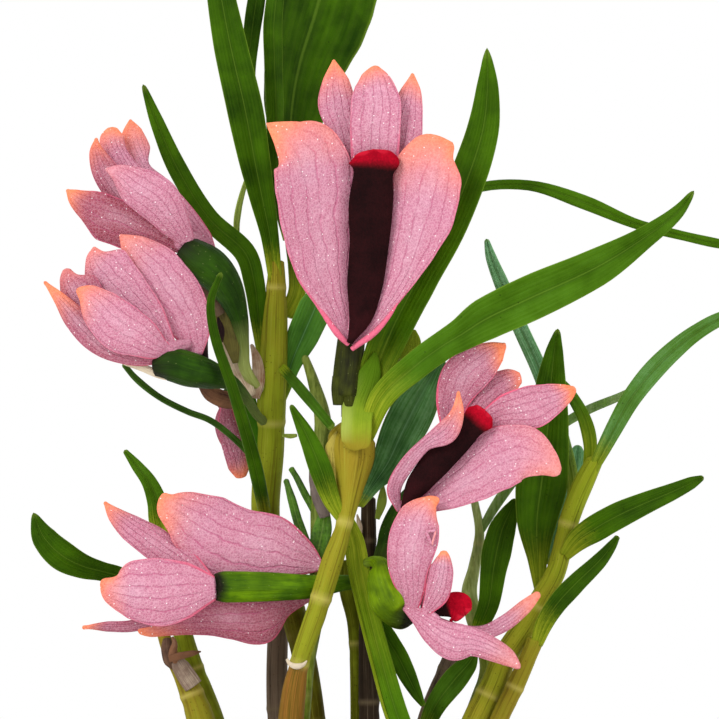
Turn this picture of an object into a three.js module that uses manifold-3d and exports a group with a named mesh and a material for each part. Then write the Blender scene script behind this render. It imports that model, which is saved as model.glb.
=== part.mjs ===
// A dendrobium orchid in a plain clay pot: a clump of jointed canes, strap leaves folded along their midribs,
// seven pink flowers. Millimetres, +Z up, front towards -Y, the origin in the middle of the pot's underside.
import * as THREE from "three";
import { mergeVertices } from "three/addons/utils/BufferGeometryUtils.js";
import Module from "manifold-3d";

const wasm = await Module();
wasm.setup();

// Driving dimensions
const GAP = 0.3; // clearance between pieces that touch
const POT_HEIGHT = 54;
const POT_TOP_RADIUS = 32;
const POT_BASE_RADIUS = 23;
const POT_WALL = 3.2;
const POT_RIM_HEIGHT = 9;
const POT_RIM_LIP = 2.2;
const DRAIN_RADIUS = 3;
const DRAIN_RING = 11;
const DRAINS = 3;
const SOIL_LEVEL = 49; // top of the potting medium
const SOIL_BUMP = 0.9; // how far the bark stands above and below that level
const ROOT_LEVEL = 40; // foot of every cane, inside the medium
const LEAF_THICK = 0.75;
const TEPAL_THICK = 0.7;
const LIP_THICK = 0.9;
const CANE_SIDES = 8;
const CANE_STEPS = 10;
const STALK_SIDES = 6; // of the slender shoots and flower stalks
const STALK_STEPS = 8;
const LEAF_STEPS = 12;

const clay = new THREE.MeshStandardMaterial({ color: 0xb0623d, roughness: 0.85, metalness: 0 });
const bark = new THREE.MeshStandardMaterial({ color: 0x4a3423, roughness: 0.95, metalness: 0 });
const caneGreen = new THREE.MeshStandardMaterial({ color: 0x968c32, roughness: 0.5, metalness: 0 });
const caneBrown = new THREE.MeshStandardMaterial({ color: 0x5d4a38, roughness: 0.8, metalness: 0 });
const leafGreen = new THREE.MeshStandardMaterial({ color: 0x3f6d12, roughness: 0.4, metalness: 0 });
const leafBlue = new THREE.MeshStandardMaterial({ color: 0x2f6a45, roughness: 0.35, metalness: 0 });
const tepalPink = new THREE.MeshStandardMaterial({ color: 0xd6849a, roughness: 0.55, metalness: 0 });
const lipDark = new THREE.MeshStandardMaterial({ color: 0x3a0a12, roughness: 0.4, metalness: 0 });
const ovaryGreen = new THREE.MeshStandardMaterial({ color: 0x3f5c14, roughness: 0.5, metalness: 0 });

const vector = (p) => new THREE.Vector3(p[0], p[1], p[2]);

// Solids

// A geometry whose vertices are shared and whose faces point out, as a solid that can be joined and cut.
function solid(geometry) {
  geometry.deleteAttribute("normal");
  geometry.deleteAttribute("uv");
  const merged = mergeVertices(geometry, 1e-4);
  return new wasm.Manifold(
    new wasm.Mesh({
      numProp: 3,
      vertProperties: new Float32Array(merged.attributes.position.array),
      triVerts: new Uint32Array(merged.index.array),
    }),
  );
}

// The skin over a row of rings of equally many points, closed at both ends. A quad past place `turn` of its
// ring is split the other way, so that both faces of a thin blade are split alike.
function skin(rings, turn) {
  const n = rings[0].length;
  const position = rings.flat().flatMap((p) => [p.x, p.y, p.z]);
  const index = [];
  rings.slice(1).forEach((_, r) => {
    for (let i = 0; i < n; i++) {
      const a = r * n + i;
      const b = r * n + ((i + 1) % n);
      if (i < turn) index.push(a, b, b + n, a, b + n, a + n);
      else index.push(a, b, a + n, b, b + n, a + n);
    }
  });
  for (const [start, flip] of [[0, true], [position.length / 3 - n, false]])
    for (let i = 0; i < n / 2 - 1; i++) {
      const [a, b, c, d] = [start + i, start + i + 1, start + n - 2 - i, start + n - 1 - i];
      index.push(...(flip ? [a, c, b, a, d, c] : [a, b, c, a, c, d]));
    }
  const geometry = new THREE.BufferGeometry();
  geometry.setAttribute("position", new THREE.Float32BufferAttribute(position, 3));
  geometry.setIndex(index);
  const made = solid(geometry);
  if (made.volume() > 0) return made;
  geometry.setIndex(index.reverse());
  return solid(geometry);
}

// Smooth values between the rows of a list; t runs from 0 at the first row to 1 at the last.
function smooth(rows, from) {
  const curve = new THREE.CatmullRomCurve3(rows.map((row) => vector(row.slice(from, from + 3))));
  return { at: (t) => curve.getPoint(t), along: (t) => curve.getTangent(t) };
}

// A round stem through [x, y, z, radius] rows. `grow` makes it fatter and longer, for the room it needs.
function stem(rows, { steps = CANE_STEPS, sides = CANE_SIDES, grow = 0 } = {}) {
  const path = smooth(rows, 0);
  const girth = smooth(rows.map((row) => [row[3], 0, 0]), 0);
  let side = new THREE.Vector3(1, 0, 0);
  const rings = [];
  for (let k = 0; k <= steps; k++) {
    const t = k / steps;
    const along = path.along(t);
    side = side.clone().addScaledVector(along, -side.dot(along)).normalize();
    const front = along.clone().cross(side);
    const middle = path.at(t);
    if (k === 0) middle.addScaledVector(along, -grow);
    if (k === steps) middle.addScaledVector(along, grow);
    const radius = girth.at(t).x + grow;
    rings.push(
      Array.from({ length: sides }, (_, i) => {
        const angle = (2 * Math.PI * i) / sides;
        return middle
          .clone()
          .addScaledVector(side, radius * Math.cos(angle))
          .addScaledVector(front, radius * Math.sin(angle));
      }),
    );
  }
  return skin(rings, Infinity);
}

// A thin blade through [x, y, z, left half, right half, roll] rows. It faces `face`, turned by the roll in
// degrees about its own midrib, and its halves rise `fold` degrees to that face. `grow` is as for a stem.
function blade(rows, { steps, thick, fold, face = [0, -1, 0], grow = 0 }) {
  const path = smooth(rows, 0);
  const widths = smooth(rows, 3);
  const lift = Math.sin(THREE.MathUtils.degToRad(fold));
  const spread = Math.cos(THREE.MathUtils.degToRad(fold));
  const half = thick / 2 + grow;
  const rings = [];
  for (let k = 0; k <= steps; k++) {
    const t = k / steps;
    const along = path.along(t);
    const width = widths.at(t);
    const up = vector(face);
    up.addScaledVector(along, -up.dot(along)).normalize();
    up.applyAxisAngle(along, THREE.MathUtils.degToRad(width.z));
    const side = along.clone().cross(up);
    const middle = path.at(t);
    if (k === 0) middle.addScaledVector(along, -grow);
    if (k === steps) middle.addScaledVector(along, grow);
    const point = (f, level) => {
      const reach = Math.max(f < 0 ? width.x : width.y, thick / 2) + grow;
      return middle
        .clone()
        .addScaledVector(side, f * reach * spread)
        .addScaledVector(up, Math.abs(f) * reach * lift + level);
    };
    rings.push([...[-1, 0, 1].map((f) => point(f, half)), ...[1, 0, -1].map((f) => point(f, -half))]);
  }
  return skin(rings, 3);
}

// The largest body of a solid, without the scraps that a cut leaves.
function largest(made) {
  const bodies = made.decompose();
  return bodies.reduce((best, body) => (body.volume() > best.volume() ? body : best));
}

function mesh(name, made, material) {
  const { vertProperties, triVerts } = largest(made).getMesh();
  const geometry = new THREE.BufferGeometry();
  geometry.setAttribute("position", new THREE.BufferAttribute(vertProperties, 3));
  geometry.setIndex(new THREE.BufferAttribute(triVerts, 1));
  geometry.computeVertexNormals();
  const piece = new THREE.Mesh(geometry, material);
  piece.name = name;
  return piece;
}

const orchid = new THREE.Group();
const rooms = {}; // the room that each cane and leaf needs, for what is cut to fit round it

// Canes: [x, y, z, radius] from the foot in the medium to the tip, slightly swollen between their joints
const canes = {
  front: [
    [-9.3, -5.5, ROOT_LEVEL, 1.7], [-8.9, -7.6, 62, 1.75], [-8.2, -8.7, 71.5, 1.5], [-7.3, -9.1, 76, 1.2],
    [-5.3, -9.6, 81.9, 1.3], [-3.6, -9.6, 87.4, 1.35], [-1.9, -9.6, 92.7, 1.05], [-1.3, -9.3, 97, 1.75],
    [-1, -9, 101, 2.85], [-1, -9, 103, 2.95], [-0.4, -9, 105.2, 1.5],
  ],
  left: [
    [-4.5, 2, ROOT_LEVEL, 1.2], [-4.8, 2.4, 54, 1.2], [-5.6, 2.8, 68, 1.3], [-8.2, 3, 80.8, 1.6],
    [-11.65, 2.2, 92, 1.75], [-11.3, 0.6, 102, 1.85], [-10.9, -0.6, 110.5, 1.8], [-10.6, -1, 118, 1.6],
    [-10.4, -1, 123, 1.15], [-10.4, -1, 125.5, 0.95],
  ],
  right: [
    [7, 1, ROOT_LEVEL, 1.6], [8.2, 0.6, 49, 1.7], [10.8, 0.3, 59, 1.75], [14.7, 0, 68.1, 1.8],
    [16.8, 0, 72.6, 1.65], [18, 0, 75.6, 1.55], [20.8, 0, 79.9, 1.5], [22.8, 0, 83.4, 1.35],
    [24.5, 0, 86.5, 1.25], [26.2, 0, 93, 1.25], [27.7, 0, 97, 1.3], [29.6, 0, 100.8, 1],
  ],
  right_low: [
    [12, -2, ROOT_LEVEL, 1.2], [12.6, -2, 50, 1.25], [14.7, -2, 60, 1.25], [17.4, -2, 68.1, 1.15],
    [19.3, -2, 72.1, 1.15], [20.85, -2, 75.5, 1.05], [22, -2, 78.2, 1.05],
  ],
  left_short: [
    [-15, 1, ROOT_LEVEL, 1.5], [-16.3, 1, 52, 1.6], [-18.2, 1, 61, 1.7], [-20.2, 1, 69, 1.7],
    [-22, 1.2, 73.4, 1.25], [-23.9, 1.6, 76.8, 0.9], [-24.7, 2, 79, 0.75],
  ],
  left_leafy: [
    [-12.5, 5, ROOT_LEVEL, 1.5], [-14.2, 5, 52, 1.6], [-16.7, 5, 61, 1.7], [-18.8, 5, 68.2, 1.6],
    [-21.2, 5, 75, 1.35], [-22.3, 5, 79, 1.2], [-23.3, 5, 85, 0.95], [-24.2, 4.6, 91, 0.8],
  ],
  middle_brown: [
    [2, -1.6, ROOT_LEVEL, 1.25], [1.6, -1.8, 54, 1.3], [1.2, -2, 68, 1.3], [1.1, -2, 80, 1.2],
    [1.1, -2.2, 90, 1], [1.1, -2.2, 96, 0.9],
  ],
  middle_olive: [
    [-0.9, 0.7, ROOT_LEVEL, 0.8], [-0.7, 0.7, 54, 0.8], [-0.3, 0.6, 68, 0.85], [-0.6, 0.5, 80, 0.95],
    [-1.4, 0.4, 84.3, 1.15], [-1.7, 0.4, 88, 1],
  ],
  old_brown: [
    [-8, 6.5, ROOT_LEVEL, 1.2], [-9, 6.4, 54, 1.3], [-10.3, 6.4, 68, 1.35], [-10.3, 6.4, 78, 1.3],
    [-9.6, 6.4, 86, 1],
  ],
  old_grey: [
    [5.5, 3.2, ROOT_LEVEL, 1.05], [6.3, 3, 54, 1.1], [7.9, 2.6, 66, 1.15], [10.2, 2.4, 72.5, 1.15],
    [12.7, 2.2, 78.5, 1],
  ],
};

// Two shoots too slender to part from their small leaves
const shoots = {
  back: {
    stem: [
      [9.5, 7, ROOT_LEVEL, 0.9], [10.5, 7, 54, 0.95], [14, 7, 67.5, 1], [16.1, 7, 74.4, 1],
      [14.7, 7, 79.6, 1.05], [13.8, 7, 83.6, 1], [14.4, 7, 86.8, 0.75], [15.1, 7, 91.2, 0.6],
      [14.6, 7, 94.5, 0.5], [13.9, 7, 97.5, 0.4],
    ],
    leaves: [
      [[15, 7, 91, 0.45, 0], [17.2, 7, 94.8, 0.65, 0], [21, 7, 100, 0.65, 0], [25, 7, 104.4, 0.6, 0],
        [28.5, 7, 106.6, 0.6, 0], [33.2, 7, 108.6, 0.5, 0], [35.6, 7, 110, 0.3, 0]],
    ],
  },
  thin: {
    stem: [
      [-7.4, -2.6, ROOT_LEVEL, 0.95], [-7.5, -2.6, 54, 0.95], [-7.2, -2.6, 68, 1], [-6.6, -2.6, 75, 1],
      [-5.6, -2.6, 80.5, 1], [-5.2, -2.6, 86, 1.05], [-5.1, -2.6, 94, 1.05], [-5, -2.6, 100, 1.15],
      [-4.6, -2.6, 105.5, 1.05], [-5.8, -2.6, 110.4, 0.7], [-6.9, -2.6, 113.6, 0.45],
    ],
    leaves: [
      [[-5.6, -2.8, 87.6, 0.6, 0], [-6.8, -3, 90.6, 0.6, 0], [-7.7, -3.2, 93, 0.6, 0],
        [-8.4, -3.4, 95.5, 0.55, 0], [-9.2, -3.6, 98.2, 0.3, 0]],
      [[-5.2, -2.6, 93.3, 0.45, 0], [-6.1, -2.8, 95, 0.45, 0], [-7, -3, 96.7, 0.45, 0],
        [-7.8, -3.2, 98.3, 0.4, 0], [-8.6, -3.4, 99.6, 0.3, 0]],
      [[-5.4, -3, 86, 0.8, 0], [-5.2, -3.4, 89, 1.3, 0], [-4.6, -3.6, 92, 1.2, 0],
        [-4.2, -3.6, 94.8, 0.4, 0]],
    ],
  },
};

// Leaves: the cane that each one clasps, and [x, y, z, half width, roll] from its foot to its tip
const leaves = {
  top_left: { on: ["left"], fold: 20, rows: [
    [-10.5, -1.4, 123, 0.9, 0], [-11.2, -1.7, 128.5, 1.2, 0], [-12.1, -2, 133, 1.65, 0],
    [-13.1, -2.4, 138, 2.1, 0], [-14.3, -2.7, 144.4, 2.4, 0], [-16, -2.7, 151.8, 2.25, 0],
    [-17.2, -2.3, 158, 1.9, 0], [-18.4, -1.6, 165, 1.3, 0], [-19.2, -0.6, 171, 0.3, 0],
  ] },
  top_left_back: { on: ["left", "top_left"], fold: 15, rows: [
    [-10.6, -0.2, 124, 0.7, 0], [-11.4, 0.8, 130, 0.9, 0], [-13, 2, 139.3, 1, 0], [-14, 2.4, 148, 1, 0],
    [-13.5, 2.6, 154, 1.1, 0], [-12.8, 2.8, 159, 1.1, 0], [-11.9, 3.2, 167.5, 0.3, 0],
  ] },
  top_wide: { on: ["left", "top_left_back"], fold: 16, rows: [
    [-9.3, -0.4, 118.6, 1, 20], [-8, 1, 121.4, 1.2, 20], [-7.7, 2.6, 125, 1.6, 20],
    [-8.1, 4.4, 132, 2.3, 24], [-8.8, 5.6, 139.5, 3.2, 28], [-8.6, 6.3, 145, 4.75, 28],
    [-7.6, 6.9, 150.5, 5.95, 28], [-5.9, 7.5, 156, 7.1, 28], [-4.1, 8.2, 162, 7.1, 26],
    [-0.8, 9.6, 170, 4.3, 24], [1, 10.6, 175.5, 0.4, 20],
  ] },
  left_arching: { on: ["left"], fold: 12, rows: [
    [-12.2, -1, 113.5, 0.6, 0], [-12.6, -1.2, 118, 1.05, 0], [-13.15, -1.2, 122.7, 1.35, 0],
    [-14.25, -0.8, 126.3, 1.4, 0], [-18.85, 0.4, 130.7, 1.3, 0], [-22.8, 1, 137, 1.25, 0],
    [-25.35, 1.2, 142.8, 0.9, 0], [-27.1, 1.4, 147.5, 0.3, 0],
  ] },
  left_front: { on: ["left"], fold: 0, rows: [
    [-11.8, 1, 93.5, 0.8, 0], [-12.3, -2.6, 96.5, 0.85, 0], [-13.4, -7, 101.6, 0.85, 0],
    [-15.7, -12.6, 109.6, 0.7, 0], [-17.9, -14.8, 116.3, 0.6, 0], [-18.3, -15, 120.3, 0.5, 0],
    [-17, -14.8, 123.8, 0.3, 0],
  ] },
  left_thread: { on: ["left"], fold: 0, rows: [
    [-11.8, 0.6, 98.8, 0.4, 0], [-14.8, -1.8, 102.4, 0.4, 0], [-18.5, -2.4, 105.4, 0.4, 0],
    [-21.5, -2.8, 106.6, 0.4, 0], [-25, -2.2, 108.4, 0.4, 0], [-28, -1.8, 110.8, 0.4, 0],
    [-29.5, -1.6, 112.6, 0.3, 0],
  ] },
  centre_blue: { on: ["left"], fold: 16, rows: [
    [-10, -0.2, 107.5, 0.6, 0], [-9.2, 0.2, 110, 0.9, 0], [-8.5, 0.2, 112.6, 1.35, 0],
    [-7, -0.2, 116.2, 2.1, 0], [-5.6, -0.8, 119.4, 2.2, 0], [-4.6, -1.4, 122.3, 1, 0],
  ] },
  centre_stick: { on: ["left"], fold: 0, rows: [
    [-9.6, -2.6, 112, 0.6, 0], [-8.2, -6.4, 110.4, 0.65, 0], [-5.8, -10.6, 107.6, 0.65, 0],
    [-3.3, -12.6, 104.6, 0.55, 0],
  ] },
  centre_down: { on: ["front"], fold: 14, rows: [
    [-2.2, -9.6, 93.2, 0.6, 0], [-3.5, -10.6, 95.8, 1.15, 0], [-4.8, -11, 99.5, 1.45, 0],
    [-6.4, -10.4, 103.4, 1.1, 0], [-8.5, -8.4, 107.4, 0.3, 0],
  ] },
  tall_right: { on: ["front"], fold: 20, rows: [
    [0, -9.2, 103.6, 1.5, 0], [0.2, -9.2, 105.8, 1.75, 0], [1, -9, 108.8, 1.8, 0],
    [2.4, -8.6, 112.8, 2.25, 0], [4.15, -8, 117, 2.55, 0], [5.9, -7.4, 120.5, 2.6, 0],
    [7.55, -7, 123.6, 2.6, 0], [10.95, -6.6, 129.6, 2.5, 0], [13.95, -6.4, 137, 2.4, 0],
    [15.4, -6.2, 142, 2.1, 0], [15.9, -6, 147, 1.45, 0], [15.85, -5.6, 151.8, 0.3, 0],
  ] },
  long_right: { on: ["front", "tall_right"], fold: 18, rows: [
    [0.8, -9.6, 103.4, 1, 0], [2.8, -10.4, 108.4, 1.6, 0], [7.2, -10.6, 112.5, 1.85, 0],
    [10.5, -10.6, 114.9, 1.9, 0], [12.6, -10.5, 116.15, 2.15, 0], [15.5, -10.4, 118, 2.75, 0],
    [21, -10, 120.6, 2.95, 0], [29.5, -9, 124.55, 2.45, 0], [35, -8.2, 127.95, 1.5, 0],
    [39.4, -7.4, 131.3, 0.9, 0], [41.5, -7, 134, 0.3, 0],
  ] },
  grass_right: { on: ["front", "tall_right", "long_right"], fold: 0, rows: [
    [-0.4, -7, 103.6, 0.5, 0], [2.6, -4.4, 111, 0.6, 0], [6, -3.2, 122, 0.6, 0], [10, -2.4, 131, 0.6, 0],
    [14, -2, 134.2, 0.6, 0], [21, -1.8, 134.8, 0.65, 0], [28, -1.4, 132.7, 0.9, 0],
    [34.5, -1.2, 130, 0.65, 0], [40, -1, 128.6, 0.6, 0], [45, -1, 127.5, 0.6, 0], [50, -1, 126.7, 0.35, 0],
  ] },
  right_blue: { on: ["front", "long_right"], fold: 18, rows: [
    [0, -8.4, 95, 0.6, 0], [1.6, -6.6, 97.4, 1.1, 0], [3.5, -5.6, 100.2, 2.2, 0], [5.3, -5.2, 104, 2.8, 0],
    [7, -5.2, 107.3, 2.8, 0], [8.6, -5.4, 110.3, 2.1, 0], [10.4, -5.6, 113.4, 0.5, 0],
  ] },
  strap_down: { on: ["front", "right_blue"], fold: 14, rows: [
    [-1.7, -8.4, 93.4, 0.9, 0], [-0.6, -6.9, 90.6, 1.2, 0], [0, -6.4, 87, 1.35, 0], [1, -6.6, 82.4, 1.3, 0],
    [2.8, -7.4, 75.4, 1.35, 0], [5, -9.4, 68.1, 1.45, 0], [7.6, -11.6, 62.5, 1, 0],
    [9.8, -13.4, 58.5, 0.3, 0],
  ] },
  low_centre: { on: ["middle_brown", "strap_down"], fold: 14, rows: [
    [1.6, -2.8, 84.5, 0.8, 0], [2.2, -3.6, 80.6, 1.1, 0], [3.6, -4, 78, 1.35, 0], [4.85, -4.2, 76, 1.3, 0],
    [5.95, -4.4, 73.8, 1.15, 0], [7.1, -4.5, 71.5, 0.75, 0], [8, -4.6, 69.9, 0.3, 0],
  ] },
  low_grey: { on: ["old_grey"], fold: 16, rows: [
    [7.4, 1.6, 64, 0.8, 0], [8.3, 0.4, 67, 1, 0], [9.6, -0.6, 70, 1.35, 0], [11.8, -1.2, 73, 1.6, 0],
    [13.6, -1.4, 75.1, 1.2, 0], [14.6, -1.4, 76.6, 0.3, 0],
  ] },
  upper_back: { on: ["right"], fold: 10, rows: [
    [26.4, 0.6, 94.6, 0.6, 0], [26.7, 2.4, 97.6, 0.8, 0], [25.5, 4, 103, 0.9, 0],
    [22.8, 4.4, 111.2, 1.05, 0], [20.2, 4.4, 117, 1, 0], [17.9, 4, 122.4, 0.95, 0],
    [16.5, 3.6, 125.9, 0.7, 0], [15.9, 3.4, 128.2, 0.3, 0],
  ] },
  broad_right: { on: ["right", "upper_back"], fold: 12, rows: [
    [22.5, 1.2, 83.6, 0.5, 0], [22.3, 1.8, 88, 1.3, 0], [22.2, 2, 92.8, 2.6, 0], [22.8, 2, 97.6, 3.3, 0],
    [23.3, 1.6, 102, 3, 0], [23.7, 1.2, 106, 2.5, 0], [24, 0.8, 110.6, 1.85, 0], [24.4, 0.4, 114.3, 1.1, 0],
    [24.8, 0, 116.9, 0.3, 0],
  ] },
  edge_right: { on: ["right", "broad_right"], fold: 0, rows: [
    [23.9, 1.6, 87.4, 0.5, 0], [24.7, 3, 90.8, 0.5, 0], [25.5, 4.4, 94.3, 0.5, 0], [26.2, 5, 96.5, 0.6, 0],
    [26.9, 5.4, 98.9, 1, 0], [27.3, 5.8, 100.9, 1.1, 0], [27.5, 6, 102.3, 0.4, 0],
  ] },
  far_right: { on: ["right"], fold: 14, rows: [
    [29.2, -0.4, 99.4, 0.7, 0], [30.5, -1, 102, 0.95, 0], [31.75, -1.2, 104.4, 1.1, 0],
    [33.85, -1.4, 108.1, 1.25, 0], [36.4, -1.4, 111.4, 1.35, 0], [39.1, -1.2, 114.1, 1.25, 0],
    [42, -0.8, 116.4, 1.05, 0], [45.4, -0.4, 118.25, 0.9, 0], [51, 0.6, 119.5, 0.35, 0],
  ] },
  fork_right: { on: ["right", "far_right"], fold: 0, rows: [
    [28.5, 0.4, 98.6, 0.7, 0], [28.9, 1.4, 102.2, 0.85, 0], [28.2, 1.6, 105.5, 0.85, 0],
    [26.4, 2.2, 108.8, 0.7, 0], [24.8, 2.2, 111, 0.3, 0],
  ] },
  side_right: { on: ["right"], fold: 14, rows: [
    [25.6, -0.8, 88.6, 0.8, 0], [27.3, -1.8, 90.6, 1.45, 0], [29.8, -2.4, 92.25, 1.75, 0],
    [32.4, -2.8, 93.7, 1.7, 0], [35.9, -3, 95.3, 1.4, 0], [39, -3, 96.6, 1.1, 0],
    [41.4, -2.8, 97.7, 0.8, 0], [42.9, -2.6, 98.4, 0.3, 0],
  ] },
  low_right: { on: ["right_low"], fold: 14, rows: [
    [22.1, -2.4, 77.6, 0.8, 0], [23.1, -3, 80.3, 1.15, 0], [24.75, -3.4, 82.8, 1.25, 0],
    [26.95, -3.8, 85.2, 1.25, 0], [29.9, -4, 88.05, 1, 0], [31.4, -4, 89.9, 0.65, 0],
    [32.2, -4, 91.1, 0.3, 0],
  ] },
  back_hanging: { on: ["shoot_back"], fold: 12, rows: [
    [14.6, 6.4, 77.6, 0.7, 0], [15.2, 4.6, 79.8, 1.1, 0], [16.2, 3.6, 82.4, 1.35, 0],
    [16.8, 3.6, 86.7, 1.7, 0], [17.2, 3.8, 88.9, 1.9, 0], [17.9, 4, 91.7, 1.75, 0], [18.9, 4.2, 94, 1.1, 0],
    [19.6, 4.4, 95.6, 0.3, 0],
  ] },
  far_left: { on: ["left_short"], fold: 14, rows: [
    [-24.4, 2.6, 78.4, 0.5, 0], [-26.4, 3, 82.3, 0.8, 0], [-29.5, 3, 85.6, 1.2, 0],
    [-32.2, 2.4, 86.5, 1.25, 0], [-34.7, 1.8, 87.2, 1.6, 0], [-37.3, 1, 88.6, 1.95, 0],
    [-39.5, 0.6, 90.9, 1.6, 0], [-40.8, 0.4, 93.9, 0.3, 0],
  ] },
  left_small: { on: ["left_leafy"], fold: 14, rows: [
    [-24.2, 4.4, 90.4, 0.9, 0], [-25, 4.2, 92.7, 1.45, 0], [-25.4, 4, 95.2, 1.3, 0],
    [-26.4, 3.8, 97.7, 1, 0], [-27.9, 3.6, 99.7, 0.75, 0], [-29.5, 3.6, 101.7, 0.3, 0],
  ] },
};

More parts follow.
